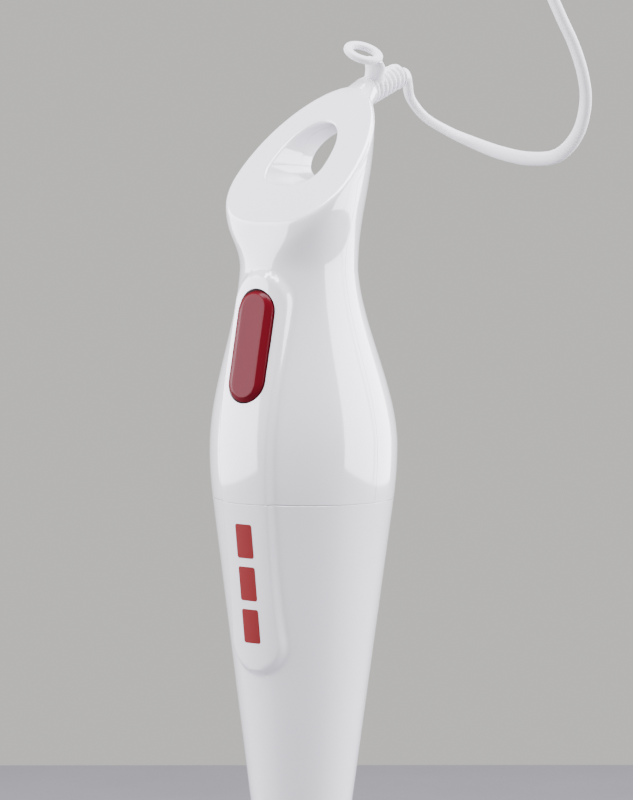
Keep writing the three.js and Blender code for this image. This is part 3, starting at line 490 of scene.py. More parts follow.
def between_rows(rows, steps):
    """More rows on a smooth curve through the given ones (Catmull-Rom)."""
    rows = np.asarray(rows, float)
    padded = np.vstack([2 * rows[0] - rows[1], rows, 2 * rows[-1] - rows[-2]])
    made = []
    for k in range(1, len(padded) - 2):
        p0, p1, p2, p3 = padded[k - 1:k + 3]
        for t in np.linspace(0, 1, steps, endpoint=False):
            made.append(0.5 * (2 * p1 + (p2 - p0) * t + (2 * p0 - 5 * p1 + 4 * p2 - p3) * t * t
                               + (3 * p1 - p0 - 3 * p2 + p3) * t ** 3))
    return np.array(made + [rows[-1]])


# ---- Cord ---------------------------------------------------------------------------------------

# In metres: from the sleeve a sag to the side, a rise, an arch, a long drop, and a run up to the coil.
CORD_ROUTE = [
    (0, 0.0509, 0.3683), (-0.001, 0.056, 0.3686), (-0.004, 0.061, 0.366), (-0.0065, 0.066, 0.3605),
    (-0.004, 0.071, 0.354), (0.0045, 0.074, 0.3488), (0.0165, 0.0726, 0.345), (0.03, 0.0697, 0.3418),
    (0.045, 0.066, 0.34), (0.061, 0.0608, 0.3416), (0.071, 0.0576, 0.349), (0.0763, 0.0542, 0.3595),
    (0.078, 0.05, 0.3685), (0.0772, 0.0457, 0.3782), (0.0746, 0.0414, 0.388), (0.072, 0.0387, 0.397),
    (0.071, 0.038, 0.406), (0.073, 0.041, 0.416), (0.08, 0.048, 0.424), (0.089, 0.057, 0.4265),
    (0.098, 0.066, 0.422), (0.104, 0.073, 0.41), (0.107, 0.077, 0.392), (0.108, 0.079, 0.36),
    (0.108, 0.079, 0.31), (0.108, 0.079, 0.25), (0.108, 0.079, 0.19), (0.108, 0.079, 0.13),
    (0.108, 0.079, 0.08), (0.108, 0.0805, 0.045), (0.1065, 0.086, 0.02), (0.101, 0.0935, 0.0065),
    (0.092, 0.0995, 0.003), (0.08, 0.1023, 0.0027), (0.068, 0.1018, 0.0027), (0.057, 0.0986, 0.0027),
]
CORD_LENGTH, CORD_WIDTH, CORD_THICK = 1.4, 4.8, 3.2
CORD_STEP = 1.5  # between the points of its line
EXIT_WAY, EXIT_POINT = (0.63, -0.77, 0.1), 14  # where its broad side points, at this point of its line
EXIT_HOLD, EXIT_FADE = 25, 50  # how far the turn at the exit holds, and over how far it goes back
COIL_X, COIL_Y = 66.0, 64.0
PLUG_TURN, PLUG_Z = math.radians(42), 17.6


def follow(points, spacing):
    """Evenly spaced points on a centripetal Catmull-Rom curve through the given ones."""
    p = np.asarray(points, float)
    p = np.vstack([2 * p[0] - p[1], p, 2 * p[-1] - p[-2]])
    line = []
    for k in range(1, len(p) - 2):
        steps = [np.linalg.norm(p[j + 1] - p[j]) ** 0.5 for j in range(k - 1, k + 2)]
        k0, k1, k2, k3 = np.cumsum([0] + steps)
        for t in np.linspace(k1, k2, 16, endpoint=False):
            a = mix(p[k - 1], p[k], (t - k0) / (k1 - k0))
            b = mix(p[k], p[k + 1], (t - k1) / (k2 - k1))
            c = mix(p[k + 1], p[k + 2], (t - k2) / (k3 - k2))
            line.append(mix(mix(a, b, (t - k0) / (k2 - k0)), mix(b, c, (t - k1) / (k3 - k1)),
                            (t - k1) / (k2 - k1)))
    line = np.array(line + [p[-2]])
    far = np.concatenate([[0], np.cumsum(np.linalg.norm(np.diff(line, axis=0), axis=1))])
    at = np.linspace(0, far[-1], round(far[-1] / spacing) + 1)
    return np.stack([np.interp(at, far, line[:, j]) for j in range(3)], 1)


def mix(a, b, t):
    return a + (b - a) * t


def coil_points():
    """Some four turns, two side by side and two high, then a rise to the plug; angles are in degrees."""
    turn = [125, 160, 440, 490, 775, 822, 1090, 1150, 1425, 1475, 1610]
    radius = [32.6, 29.9, 29.9, 25.1, 25.1, 25.1, 25.1, 29.9, 29.9, 28.4, 27.6]
    height = [2.2, 1.75, 1.75, 1.75, 1.75, 4.95, 4.95, 4.95, 4.95, 8.15, 8.2]
    points = []
    for angle in np.arange(125, 1622, 12):
        r, z = np.interp(angle, turn, radius), np.interp(angle, turn, height)
        a = math.radians(angle)
        points.append((COIL_X + r * math.cos(a), COIL_Y + r * math.sin(a), z))
    return points + [(38.9, 58.4, 8.6), (40.4, 53.2, 11.2), (43.9, 49.4, 14.8), (48.3, 49.0, 17.2),
                     (51.8, 51.2, 17.6), (54.6, 53.7, 17.6)]


def cord_frames(line, width_way):
    """Tangents and width directions along a line, carried without twisting."""
    tangents = np.gradient(line, axis=0)
    tangents /= np.linalg.norm(tangents, axis=1)[:, None]
    ways = []
    way = np.array(width_way, float)
    for t in tangents:
        way = way - t * way.dot(t)
        way /= np.linalg.norm(way)
        ways.append(way)
    return tangents, np.array(ways)


def level_in_coil(line, tangents, ways):
    """Twists the cord along its long drop, so that its broad side lies flat in the coil."""
    length = len(line)
    first = next(k for k in range(length // 4, length) if line[k][2] < 4.0)
    sideways = np.cross((0, 0, 1), tangents[first])
    across = np.cross(tangents[first], ways[first])
    angle = math.atan2(sideways.dot(across), sideways.dot(ways[first]))
    angle -= math.pi * round(angle / math.pi)
    top = int(first * 0.45)
    share = smooth(np.clip((np.arange(length) - top) / (first - top), 0, 1))[:, None] * angle
    return np.cos(share) * ways + np.sin(share) * np.cross(tangents, ways)


def turned_at_exit(line, tangents, ways):
    """Near the sleeve the cord's narrow side faces the front, and it turns back in the first of the sag."""
    k = EXIT_POINT
    across = np.cross(tangents[k], ways[k])
    angle = math.atan2(np.dot(EXIT_WAY, across), np.dot(EXIT_WAY, ways[k]))
    angle -= math.pi * round(angle / math.pi)
    far = np.arange(len(line)) * CORD_STEP
    share = 1 - smooth(np.clip((far - EXIT_HOLD) / EXIT_FADE, 0, 1))[:, None]
    return np.cos(angle * share) * ways + np.sin(angle * share) * np.cross(tangents, ways)


def flat_in_coil(line, tangents, ways):
    """Past the drop the width stays level, whichever way the cord runs."""
    first = next(k for k in range(len(line) // 4, len(line)) if line[k][2] < 4.0)
    for k in range(first, len(line)):
        level = np.cross((0, 0, 1), tangents[k])
        level /= np.linalg.norm(level)
        ways[k] = level if level.dot(ways[k - 1]) > 0 else -level
    return ways


def swept(name, line, ways, tangents, half_width, half_thick, sides=28, roundness=0.85):
    a = np.linspace(0, 2 * math.pi, sides, endpoint=False)[:, None]
    c, s = power(np.cos(a), roundness), power(np.sin(a), roundness)
    rings = [p + half_width * c * w + half_thick * s * np.cross(t, w)
             for p, w, t in zip(line, ways, tangents)]
    return loft(name, rings)


def make_cord():
    line = follow([np.array(p) / MM for p in CORD_ROUTE] + coil_points(), CORD_STEP)
    tangents, ways = cord_frames(line, (1, 0, 0))
    ways = turned_at_exit(line, tangents, ways)
    ways = flat_in_coil(line, tangents, level_in_coil(line, tangents, ways))
    made = swept("cord", line, ways, tangents, CORD_WIDTH / 2, CORD_THICK / 2)
    finish_piece(made, "housing", "white_cord", "power_cord", "cord_coil", angle=60)
    return made, line * MM


CORD, CORD_LINE = make_cord()


# ---- Plug and tie -------------------------------------------------------------------------------

def place_plug(made):
    middle = Vector((COIL_X, COIL_Y, PLUG_Z)) * MM
    made.data.transform(Matrix.Translation(middle) @ Matrix.Rotation(PLUG_TURN, 4, "Z"))
    return made


def section(x, half_width, half_thick, roundness=0.6, y=0.0, sides=64):
    a = np.linspace(0, 2 * math.pi, sides, endpoint=False)
    return np.stack([np.full(sides, float(x)), y + half_width * power(np.cos(a), roundness),
                     half_thick * power(np.sin(a), roundness)], 1)


def make_plug():
    """A flat two-pin plug with a ribbed neck where the cord enters."""
    body = [(-9, 5.6, 4.5), (-5, 8.4, 5.4), (-1, 11, 6), (4, 12.7, 6.4), (9, 13, 6.5), (14.5, 13, 6.5),
            (16.4, 12.6, 6.2), (17.2, 11.8, 5.5), (17.5, 10.8, 4.6)]
    rows = [(-17.4, 2.6, 2.2), (-17.2, 3.2, 2.9)]
    for k in range(5):
        x, w, t = -17 + 1.6 * k, 3.3 + 0.22 * k, 3.0 + 0.18 * k
        rows += [(x, w, t), (x + 0.75, w + 0.1, t + 0.1)]
        rows += [(x + 0.9, w - 0.6, t - 0.6), (x + 1.35, w - 0.6, t - 0.6)]
    rings = [section(*row) for row in rows] + [section(*row) for row in between_rows(body, 5)]
    plug = place_plug(loft("plug_skin", rings))
    finish_piece(plug, "housing", "white_cord", "plug_body", angle=35)
    pieces = [plug]
    sizes = [(17.8, 1.6), (17.9, 2), (34.8, 2), (35.1, 1.9), (35.4, 1.5), (36.0, 1.3), (36.2, 1.1),
             (36.5, 0.6)]
    for name, side in (("plug_pin_left", -1), ("plug_pin_right", 1)):
        y = 9.3 * side
        pin = place_plug(loft(name + "_skin", [section(x, r, r, 1.0, y, 32) for x, r in sizes]))
        pieces.append(finish_piece(pin, "housing", "brass", name, angle=35))
    return pieces


def make_tie():
    """A strap bent over the coil like a bridge, with rounded corners and a small buckle."""
    half, top = 5.7 + 1.0, 10.7 + 1.0
    path = [(-half, 0.15), (-half, top - 2), (-half + 0.6, top - 0.6), (-half + 2, top), (half - 2, top),
            (half - 0.6, top - 0.6), (half, top - 2), (half, 0.15)]
    inner = [(x * (half - 1.0) / half, min(z, top) - (1.0 if z > 5 else 0)) for x, z in path]
    outline = [(x + 38.5, z) for x, z in path + inner[::-1]]
    strap = prism_tool(outline, 61, 67, 1)
    buckle = box_tool(31.3, 33.2, 60.2, 67.8, 4.2, 8.6)
    boolean(strap, [buckle], "UNION")
    strap.name = "tie_strap"
    return finish_piece(strap, "housing", "dark_plastic", "cord_tie", angle=35)


# ---- Body surface -------------------------------------------------------------------------------

def body_radius(z):
    if z < SPLIT_Z:
        return SPLIT_R - CONE_SLOPE * (SPLIT_Z - z)
    if z < HIP_Z:
        return HIP_R - HIP_BULGE * (HIP_Z - z) ** 2
    return HIP_R + (NECK_R - HIP_R) * smooth(min(1.0, (z - HIP_Z) / (NECK_Z - HIP_Z)))


def body_centre_y(z):
    return -NECK_FORWARD * smooth(min(1.0, max(0.0, (z - HIP_Z) / (NECK_Z - HIP_Z))))


def angles_round_body():
    """Angles round a section, closest together at the front, where the pad's soft edges are."""
    half = math.radians(38)
    fine = np.arange(-half, half, math.radians(0.6))
    rest = np.linspace(half, 2 * math.pi - half, 124, endpoint=False)
    return np.concatenate([fine, rest]) - math.pi / 2


ROUND = angles_round_body()
COARSE = np.linspace(0, 2 * math.pi, 48, endpoint=False)


def body_ring(z, inset=0.0, angles=ROUND):
    r = body_radius(z) - inset
    return np.stack([r * np.cos(angles), body_centre_y(z) + r * np.sin(angles), np.full(len(angles), z)], 1)


FACE_UP = np.array([0, math.cos(FACE_TILT), math.sin(FACE_TILT)])
FACE_NORMAL = np.array([0, -math.sin(FACE_TILT), math.cos(FACE_TILT)])


def face_ring(inset, rise, scale=1.0, angles=ROUND):
    """The slanted outline, moved in by inset and up its normal by rise, and scaled about its middle."""
    c, s = np.cos(angles), np.sin(angles)
    across = scale * (FACE_HALF_WIDTH - inset) * np.where(
        s > 0, power(c, FACE_UPPER_POWER), power(c, FACE_LOWER_POWER))
    along = FACE_MIDDLE + scale * (np.where(s > 0, FACE_UPPER, FACE_LOWER) - inset) * s
    base = np.array([0, 0, FACE_Z]) + rise * FACE_NORMAL
    return base + across[:, None] * np.array([1, 0, 0]) + along[:, None] * FACE_UP


def head_rings(inset, drop, steps, angles=ROUND):
    """The head's wall leaves the neck upright and arrives upright at the slanted outline."""
    start, end = body_ring(HEAD_BASE_Z, inset, angles), face_ring(inset, -drop, 1.0, angles)
    reach = 0.38 * np.linalg.norm(end - start, axis=1)[:, None] * np.array([0, 0, 1])
    return [bezier(start, start + reach, end - reach, end, t) for t in np.linspace(0, 1, steps + 1)[1:]]


def rim_rings():
    """The wall turns over on to the face, which then rises in one gentle crown."""
    start, end = face_ring(0, 0), face_ring(RIM_INSET, RIM_RISE)
    inwards = end.mean(0) - end
    reach = np.linalg.norm(inwards, axis=1)[:, None]
    inwards = inwards / reach + 2 * FACE_CROWN / reach * FACE_NORMAL
    first, second = start + RIM_REACH * np.array([0, 0, 1]), end - RIM_REACH * inwards
    rings = [bezier(start, first, second, end, t) for t in np.linspace(0, 1, 10)[1:]]
    for scale in np.linspace(1, 0.02, 26)[1:]:
        rings.append(face_ring(RIM_INSET, RIM_RISE + FACE_CROWN * (1 - scale ** 2), scale))
    return rings


def arc(cx, cy, radius, start, end, steps):
    a = np.radians(np.linspace(start, end, steps))
    return np.stack([cx + radius * np.cos(a), cy + radius * np.sin(a)], 1)


def pad_outline():
    """The pad's outline in X and Z: a pill that narrows a little below the button."""
    mirror = np.array([-1, 1])
    ends = [(PAD_TOP_R, PAD_TOP_Z), PAD_SIDE_UPPER, PAD_SIDE_LOWER, (PAD_BOTTOM_R, PAD_BOTTOM_Z)]
    left = bezier(*[mirror * np.array(p) for p in ends], np.linspace(0, 1, 24)[:, None])
    right = left[::-1] * mirror
    return np.concatenate([arc(0, PAD_TOP_Z, PAD_TOP_R, 0, 180, 25)[:-1], left,
                           arc(0, PAD_BOTTOM_Z, PAD_BOTTOM_R, 180, 360, 25)[1:-1], right[:-1]])


def distance_inside(points, outline):
    """Signed distance of flat points from a closed outline, positive inside."""
    a, b = outline, np.roll(outline, -1, axis=0)
    edge = b - a
    rel = points[:, None, :] - a[None]
    t = np.clip((rel * edge).sum(2) / (edge ** 2).sum(1), 0, 1)
    away = np.sqrt(((rel - t[..., None] * edge) ** 2).sum(2)).min(1)
    above = (a[:, 1] > points[:, None, 1]) != (b[:, 1] > points[:, None, 1])
    with np.errstate(divide="ignore", invalid="ignore"):
        cross_x = a[:, 0] + (points[:, None, 1] - a[:, 1]) * edge[:, 0] / edge[:, 1]
    inside = (above & (points[:, None, 0] < cross_x)).sum(1) % 2 == 1
    return np.where(inside, away, -away)


def raise_pad(rings):
    """Lifts the points inside the pad's outline off the body, with a soft edge."""
    outline = pad_outline()
    lifted = []
    for ring in rings:
        ring = ring.copy()
        z = ring[:, 2].mean()
        centre = body_centre_y(z)
        near = (ring[:, 1] < centre) & (np.abs(ring[:, 0]) < 16) & (ring[:, 2] < 308)
        if near.any() and 160 < z < 320:
            depth = distance_inside(ring[near][:, [0, 2]], outline)
            lift = PAD_PROUD * smooth(np.clip((depth + 0.4) / PAD_EDGE, 0, 1))
            way = ring[near][:, :2] - np.array([0, centre])
            way /= np.linalg.norm(way, axis=1)[:, None]
            ring[near, :2] += lift[:, None] * way
        lifted.append(ring)
    return lifted


def body_rings(z0, z1, step, inset=0.0, angles=ROUND):
    count = max(1, round((z1 - z0) / step))
    return [body_ring(z, inset, angles) for z in np.linspace(z0, z1, count + 1)]


EDGE = 0.22  # chamfer at the split line


def upper_outside():
    low = SPLIT_Z + SPLIT_GAP / 2
    wall = raise_pad([body_ring(low, EDGE)] + body_rings(low + EDGE, HEAD_BASE_Z, 1.1) + head_rings(0, 0, 40))
    return loft("upper", wall + rim_rings())


# ---- Finger hole --------------------------------------------------------------------------------

HOLE_ANGLES = np.linspace(0, 2 * math.pi, 112, endpoint=False)
HOLE_FRONT_ROUND, HOLE_REAR_ROUND, HOLE_STEP = 1.1, 1.6, 0.03


def hole_ring(y, grow=0.0, angles=HOLE_ANGLES):
    """The finger hole's outline at y: its top sinks towards the rear."""
    t = np.clip((y - HOLE_FRONT_Y) / (HOLE_REAR_Y - HOLE_FRONT_Y), 0, 1)
    c, s = np.cos(angles), np.sin(angles)
    up = HOLE_UP + (HOLE_REAR_UP - HOLE_UP) * t + grow
    down = HOLE_DOWN + (HOLE_REAR_DOWN - HOLE_DOWN) * t + grow
    across = (HOLE_HALF_WIDTH - HOLE_REAR_NARROWER * t + grow) * np.where(
        s > 0, power(c, HOLE_UPPER_POWER), power(c, HOLE_LOWER_POWER))
    return np.stack([across, np.broadcast_to(y, s.shape), HOLE_Z + np.where(s > 0, up, down) * s], 1)


def tunnel(grow, y0, y1):
    places = [y0] + [y for y in (HOLE_FRONT_Y, HOLE_REAR_Y) if y0 < y < y1] + [y1]
    return loft("tool", [hole_ring(y, grow) for y in places])


def hole_mouth(surface, side, radius):
    """Rings of a rounded mouth where the tunnel meets the surface, from outside inwards."""
    y = np.full(len(HOLE_ANGLES), -45.0 * side)
    for _ in range(5):
        for k, point in enumerate(hole_ring(y)):
            start = Vector((point[0], -60.0 * side, point[2])) * MM
            hit = surface.ray_cast(start, Vector((0, side, 0)))[0]
            y[k] = hit.y / MM
    corner = hole_ring(y)
    normal = np.array([list(surface.find_nearest(Vector(p * MM))[1]) for p in corner])
    along = np.roll(corner, -1, axis=0) - np.roll(corner, 1, axis=0)
    along /= np.linalg.norm(along, axis=1)[:, None]
    out = np.cross(along, normal)
    out *= np.sign((out * (corner - corner.mean(0))).sum(1))[:, None]
    out = 0.25 * np.roll(out, 1, axis=0) + 0.5 * out + 0.25 * np.roll(out, -1, axis=0)
    out /= np.linalg.norm(out, axis=1)[:, None]
    deep = hole_ring(y + side) - corner
    deep /= np.linalg.norm(deep, axis=1)[:, None]
    between = np.arccos(np.clip((out * deep).sum(1), -1, 1))
    reach = np.minimum(radius / np.tan(between / 2), 2.4 * radius)[:, None]
    edge = np.array([list(surface.find_nearest(Vector(p * MM))[0]) for p in corner + reach * out]) / MM
    start = edge - HOLE_STEP * normal
    rings = [edge + 9 * normal, start]
    for t in np.linspace(0, 1, 8)[1:]:
        rings.append((1 - t) ** 2 * start + 2 * t * (1 - t) * corner + t * t * (corner + reach * deep))
    return rings


def hole_cutter(outside):
    """The finger hole as one solid, with a rounded mouth at the slanted face and another at the rear."""
    surface = BVHTree.FromPolygons([v.co for v in outside.data.vertices],
                                   [tuple(p.vertices) for p in outside.data.polygons])
    front = hole_mouth(surface, 1, HOLE_FRONT_ROUND)
    rear = hole_mouth(surface, -1, HOLE_REAR_ROUND)
    return loft("tool", front + rear[::-1])


# ---- Cord outlet --------------------------------------------------------------------------------

FAIRING_END = -2.0  # where the sleeve starts
OUTLET_WAY = np.array([0, math.cos(OUTLET_RISE), math.sin(OUTLET_RISE)])
OUTLET_UP = np.array([0, -math.sin(OUTLET_RISE), math.cos(OUTLET_RISE)])
OUTLET_END = np.array([0, OUTLET_Y, OUTLET_Z])


def outlet_ring(along, across, upward, lift=0.0, count=48):
    a = np.linspace(0, 2 * math.pi, count, endpoint=False)[:, None]
    return (OUTLET_END + along * OUTLET_WAY + (lift + upward * np.sin(a)) * OUTLET_UP
            - across * np.cos(a) * np.array([1, 0, 0]))


def outlet_fairing():
    rows = [(-19, 10, 5.5, -5.4), (-12, 8.6, 5.2, -2.6), (-6, 6.6, 4.9, -0.8),
            (FAIRING_END - 0.5, 5.4, 5.0, -0.1)]
    rings = [outlet_ring(*row) for row in between_rows(rows, 6)]
    rings += [outlet_ring(FAIRING_END - 0.2, 5.3, 5.0), outlet_ring(FAIRING_END, 5.0, 4.7)]
    return loft("fairing", rings)


# ---- Shells -------------------------------------------------------------------------------------

SCREW_Z, SCREW_HEAD_R, SCREW_SHANK_R, SCREW_HEAD_Y, SCREW_END_Y = 319.0, 3.0, 1.4, 13.4, -12.0


def screw_tool(radius, y0, y1):
    return rod_tool((0, y0, SCREW_Z), (0, y1, SCREW_Z), radius)


def stadium(width, length, steps=20):
    """An upright stadium outline in X and Z."""
    r, half = width / 2, (length - width) / 2
    return np.concatenate([arc(0, half, r, 0, 180, steps), arc(0, -half, r, 180, 360, steps)])


PAD_FRONT_Y = body_centre_y(BUTTON_Z) - body_radius(BUTTON_Z) - PAD_STEP


def on_button(flat, depth):
    """Points of the button's own frame: flat is (across, along) and depth goes into the body."""
    flat = np.asarray(flat, float)
    c, s = math.cos(BUTTON_TILT), math.sin(BUTTON_TILT)
    y, z = depth, flat[:, 1]
    return np.stack([flat[:, 0], PAD_FRONT_Y + y * c + z * s, BUTTON_Z - y * s + z * c], 1)


def button_slot():
    outline = stadium(BUTTON_WIDTH + 2 * BUTTON_GAP, BUTTON_LENGTH + 2 * BUTTON_GAP)
    return loft("tool", [on_button(outline, -12), on_button(outline, 20)])


def seam_tool(side):
    """Everything on one side of the seam, which follows the middle of the body from hip to neck."""
    levels = np.concatenate([[100], np.linspace(HIP_Z, NECK_Z, 17), [420]])
    edge = [(body_centre_y(z) + side * SEAM_GAP / 2, z) for z in levels]
    outline = [(side * 90, 100)] + edge + [(side * 90, 420)]
    return prism_tool(outline, -90, 90, 0)


def slab_tool(drop):
    """Everything above a plane that lies below the slanted face."""
    made = box_tool(-60, 60, -90, 90, RIM_RISE - drop, 90)
    turn = Matrix.Translation((0, 0, FACE_Z * MM)) @ Matrix.Rotation(FACE_TILT, 4, "X")
    made.data.transform(turn)
    return made


def whole_upper():
    outside = upper_outside()
    inside_rings = body_rings(SPLIT_Z - 4, HEAD_BASE_Z, 8, WALL, COARSE) + head_rings(WALL, 1.4, 10, COARSE)
    cutter = hole_cutter(outside)
    lining = boolean(tunnel(HOLE_WALL, -40, 40), [copy_of(outside, "tool")], "INTERSECT")
    boss = boolean(screw_tool(3.4, -20, 18), [copy_of(outside, "tool")], "INTERSECT")
    made = boolean(outside, [outlet_fairing()], "UNION")
    made = boolean(made, [loft("tool", inside_rings)])
    made = boolean(made, [boss, lining], "UNION")
    bore = rod_tool(OUTLET_END - 5.5 * OUTLET_WAY, OUTLET_END + 2 * OUTLET_WAY, 3.8, 40)
    return boolean(made, [cutter, button_slot(), bore])


def make_upper_shells():
    whole = whole_upper()
    lining = tunnel(HOLE_WALL, -40, HOLE_PARTING_Y - LINING_GAP)
    front_part = boolean(seam_tool(-1), [slab_tool(FACE_SLAB), lining], "UNION")
    front = boolean(copy_of(whole, "front_shell_skin"), [front_part], "INTERSECT")
    boolean(front, [screw_tool(SCREW_SHANK_R + GAP, SCREW_END_Y - 1, 30)])
    rear = boolean(whole, [seam_tool(1)], "INTERSECT")
    boolean(rear, [slab_tool(FACE_SLAB + SEAM_GAP), tunnel(HOLE_WALL + GAP, -40, HOLE_PARTING_Y),
                   screw_tool(SCREW_SHANK_R + GAP, -30, 30),
                   screw_tool(SCREW_HEAD_R + GAP, SCREW_HEAD_Y - GAP, 40)])
    rear.name = "rear_shell_skin"
    finish_piece(front, "housing", "white_plastic", "front_shell", angle=28)
    finish_piece(rear, "housing", "white_plastic", "rear_shell", angle=28)


NOSE_R, NOSE_FLANGE_Z = 13.2, 129.7


def make_motor_housing():
    """The cone below the split, with the pad's lower half and the air slots low on the rear."""
    top = SPLIT_Z - SPLIT_GAP / 2
    levels = [body_ring(BODY_FOOT_Z, 0.5), body_ring(BODY_FOOT_Z + 0.5, 0.1)]
    levels += body_rings(BODY_FOOT_Z + 1, 160, 4) + body_rings(161, top - EDGE, 1.0)
    levels.append(body_ring(top, EDGE))
    made = loft("motor_housing_skin", raise_pad(levels))
    boolean(made, [loft("tool", body_rings(BODY_FOOT_Z + 2.4, SPLIT_Z + 4, 10, WALL, COARSE))])
    bore = rod_tool((0, 0, BODY_FOOT_Z - 5), (0, 0, BODY_FOOT_Z + 10), NOSE_R + GAP, 64)
    boolean(made, [bore] + [vent_slot(k) for k in range(5)])
    inner = SPLIT_R - WALL
    ring = lathe("tool", [(inner - 2, SPLIT_Z - 6), (inner + 0.3, SPLIT_Z - 6), (inner + 0.3, SPLIT_Z - 3),
                          (inner - 0.4, SPLIT_Z - 3), (inner - 0.4, SPLIT_Z + 5), (inner - 2, SPLIT_Z + 5)])
    outer = body_radius(BODY_FOOT_Z + 6) - 0.6
    ledge = lathe("tool", [(NOSE_R + 1.2, BODY_FOOT_Z + 2), (outer - 1.0, BODY_FOOT_Z + 2),
                           (outer - 1.0, NOSE_FLANGE_Z - GAP), (NOSE_R + 1.2, NOSE_FLANGE_Z - GAP)], 64)
    boolean(made, [ledge, ring], "UNION")
    finish_piece(made, "housing", "white_plastic", "motor_housing", angle=28)


def vent_slot(k):
    """One of the air slots: a slit with round ends."""
    z, half = 152 + 6 * k + 0.9, 7 + 0.8 * k
    outline = np.concatenate([arc(half - 0.9, z, 0.9, -90, 90, 9), arc(-half + 0.9, z, 0.9, 90, 270, 9)])
    return prism_tool(outline, 8, 90, 1)


make_upper_shells()
make_motor_housing()


# ---- Button and bars ----------------------------------------------------------------------------

BUTTON_TOP_INSET, BUTTON_END_INSET, BUTTON_BEVEL_DEEP = 2.6, 1.5, 1.1


def button_ring(share, depth):
    """The button's outline at a depth; share goes from 0 at its side wall to 1 at its flat top."""
    width = BUTTON_WIDTH - 2 * BUTTON_TOP_INSET * share
    length = BUTTON_LENGTH - 2 * BUTTON_END_INSET * share
    return on_button(stadium(width, length, 28), depth)


def make_button():
    top, low = -BUTTON_PROUD, -BUTTON_PROUD + BUTTON_BEVEL_DEEP
    rows = [(0, 4.1), (0, low + 0.5), (0.02, low + 0.15), (0.1, low - 0.05), (0.45, low - 0.42),
            (0.85, top + 0.14), (0.95, top + 0.04), (1.04, top), (1.3, top)]
    made = loft("button_skin", [button_ring(share, depth) for share, depth in rows])
    rib = rod_tool((0, PAD_FRONT_Y + 3, BUTTON_Z), (0, -15.0, BUTTON_Z), 2.6)
    boolean(made, [rib], "UNION")
    finish_piece(made, "button", "red_plastic", "button_cap", angle=24)


BAR_SPANS = [(207.6, 219.2), (193.2, 204.8), (178.8, 190.4)]
BAR_HALF_WIDTH, BAR_CORNER = 3.5, 0.9


def pad_front(x, z, proud):
    """A point on the pad's surface, raised by proud."""
    r = body_radius(z) + PAD_PROUD + proud
    angle = -math.pi / 2 + x / r
    return (r * math.cos(angle), body_centre_y(z) + r * math.sin(angle), z)


def make_bar(name, low, high):
    """A plain printed bar with rounded ends, standing a hair above the pad."""
    rings = []
    half, corner = BAR_HALF_WIDTH, BAR_CORNER
    ends = corner * (1 - np.cos(np.linspace(0.3, math.pi / 2, 6)))
    for z in np.concatenate([low + ends, high - ends[::-1]]):
        into = min(z - low, high - z, corner)
        w = half - corner + math.sqrt(corner ** 2 - (corner - into) ** 2)
        across = np.linspace(-w, w, 11)
        rings.append([pad_front(x, z, 0.05) for x in across] + [pad_front(x, z, -0.5) for x in across[::-1]])
    finish_piece(loft(name, rings), "housing", "red_print", angle=40)


# ---- Sleeve and eye -----------------------------------------------------------------------------

SLEEVE_LENGTH, SLEEVE_RIBS, SLEEVE_ROOT_R, SLEEVE_END_R, GROOVE_DEPTH = 17.0, 7, 5.0, 4.35, 2.0
EYE_MIDDLE = np.array([0.5, 30.4, 375.6])
EYE_NORMAL = np.array([0.511, -0.229, 0.828])
EYE_LONG, EYE_WIDE, EYE_HALF_BAND, EYE_HALF_THICK = 5.4, 4.5, 1.5, 1.25


def sleeve_radius(along, angle):
    """Rounded ribs that lean a little; the slots between them stop at a spine above and one below."""
    share = (along - FAIRING_END) / (SLEEVE_LENGTH - FAIRING_END)
    envelope = mix(SLEEVE_ROOT_R, SLEEVE_END_R, share)
    pitch = (SLEEVE_LENGTH - FAIRING_END - 1.2) / SLEEVE_RIBS
    place = (along - FAIRING_END - 0.6 - 0.5 * np.sin(angle)) / pitch
    across_rib = np.abs(place - np.floor(place) - 0.5) * 2
    groove = 1 - np.sqrt(1 - np.clip(across_rib, 0, 0.985) ** 2.0)
    spine = smooth(np.clip((np.abs(np.sin(angle)) - 0.78) / 0.16, 0, 1))
    inside = (place >= 0) & (place < SLEEVE_RIBS)
    return envelope - np.where(inside, GROOVE_DEPTH * groove * (1 - 0.85 * spine), 0)


def make_sleeve():
    angle = np.linspace(0, 2 * math.pi, 72, endpoint=False)
    rings = [outlet_ring(-5, 3.6, 3.6, 0, 72), outlet_ring(FAIRING_END + 0.05, 3.6, 3.6, 0, 72),
             outlet_ring(FAIRING_END + 0.08, 4.8, 4.8, 0, 72)]
    for along in np.linspace(FAIRING_END + 0.25, SLEEVE_LENGTH - 0.4, 150):
        r = sleeve_radius(along, angle)[:, None]
        rings.append(OUTLET_END + along * OUTLET_WAY + r * np.sin(angle)[:, None] * OUTLET_UP
                     - r * np.cos(angle)[:, None] * np.array([1, 0, 0]))
    rings += [outlet_ring(SLEEVE_LENGTH - 0.1, 3.9, 3.9, 0, 72), outlet_ring(SLEEVE_LENGTH, 3.2, 3.2, 0, 72)]
    made = boolean(loft("sleeve_skin", rings), [eye_ring(), eye_neck()], "UNION")
    return finish_piece(made, "housing", "white_rubber", "strain_relief", angle=50)


def eye_axes():
    normal = EYE_NORMAL / np.linalg.norm(EYE_NORMAL)
    long = np.array([0.742, 0.602, -0.292])
    long -= normal * long.dot(normal)
    long /= np.linalg.norm(long)
    return long, np.cross(normal, long), normal


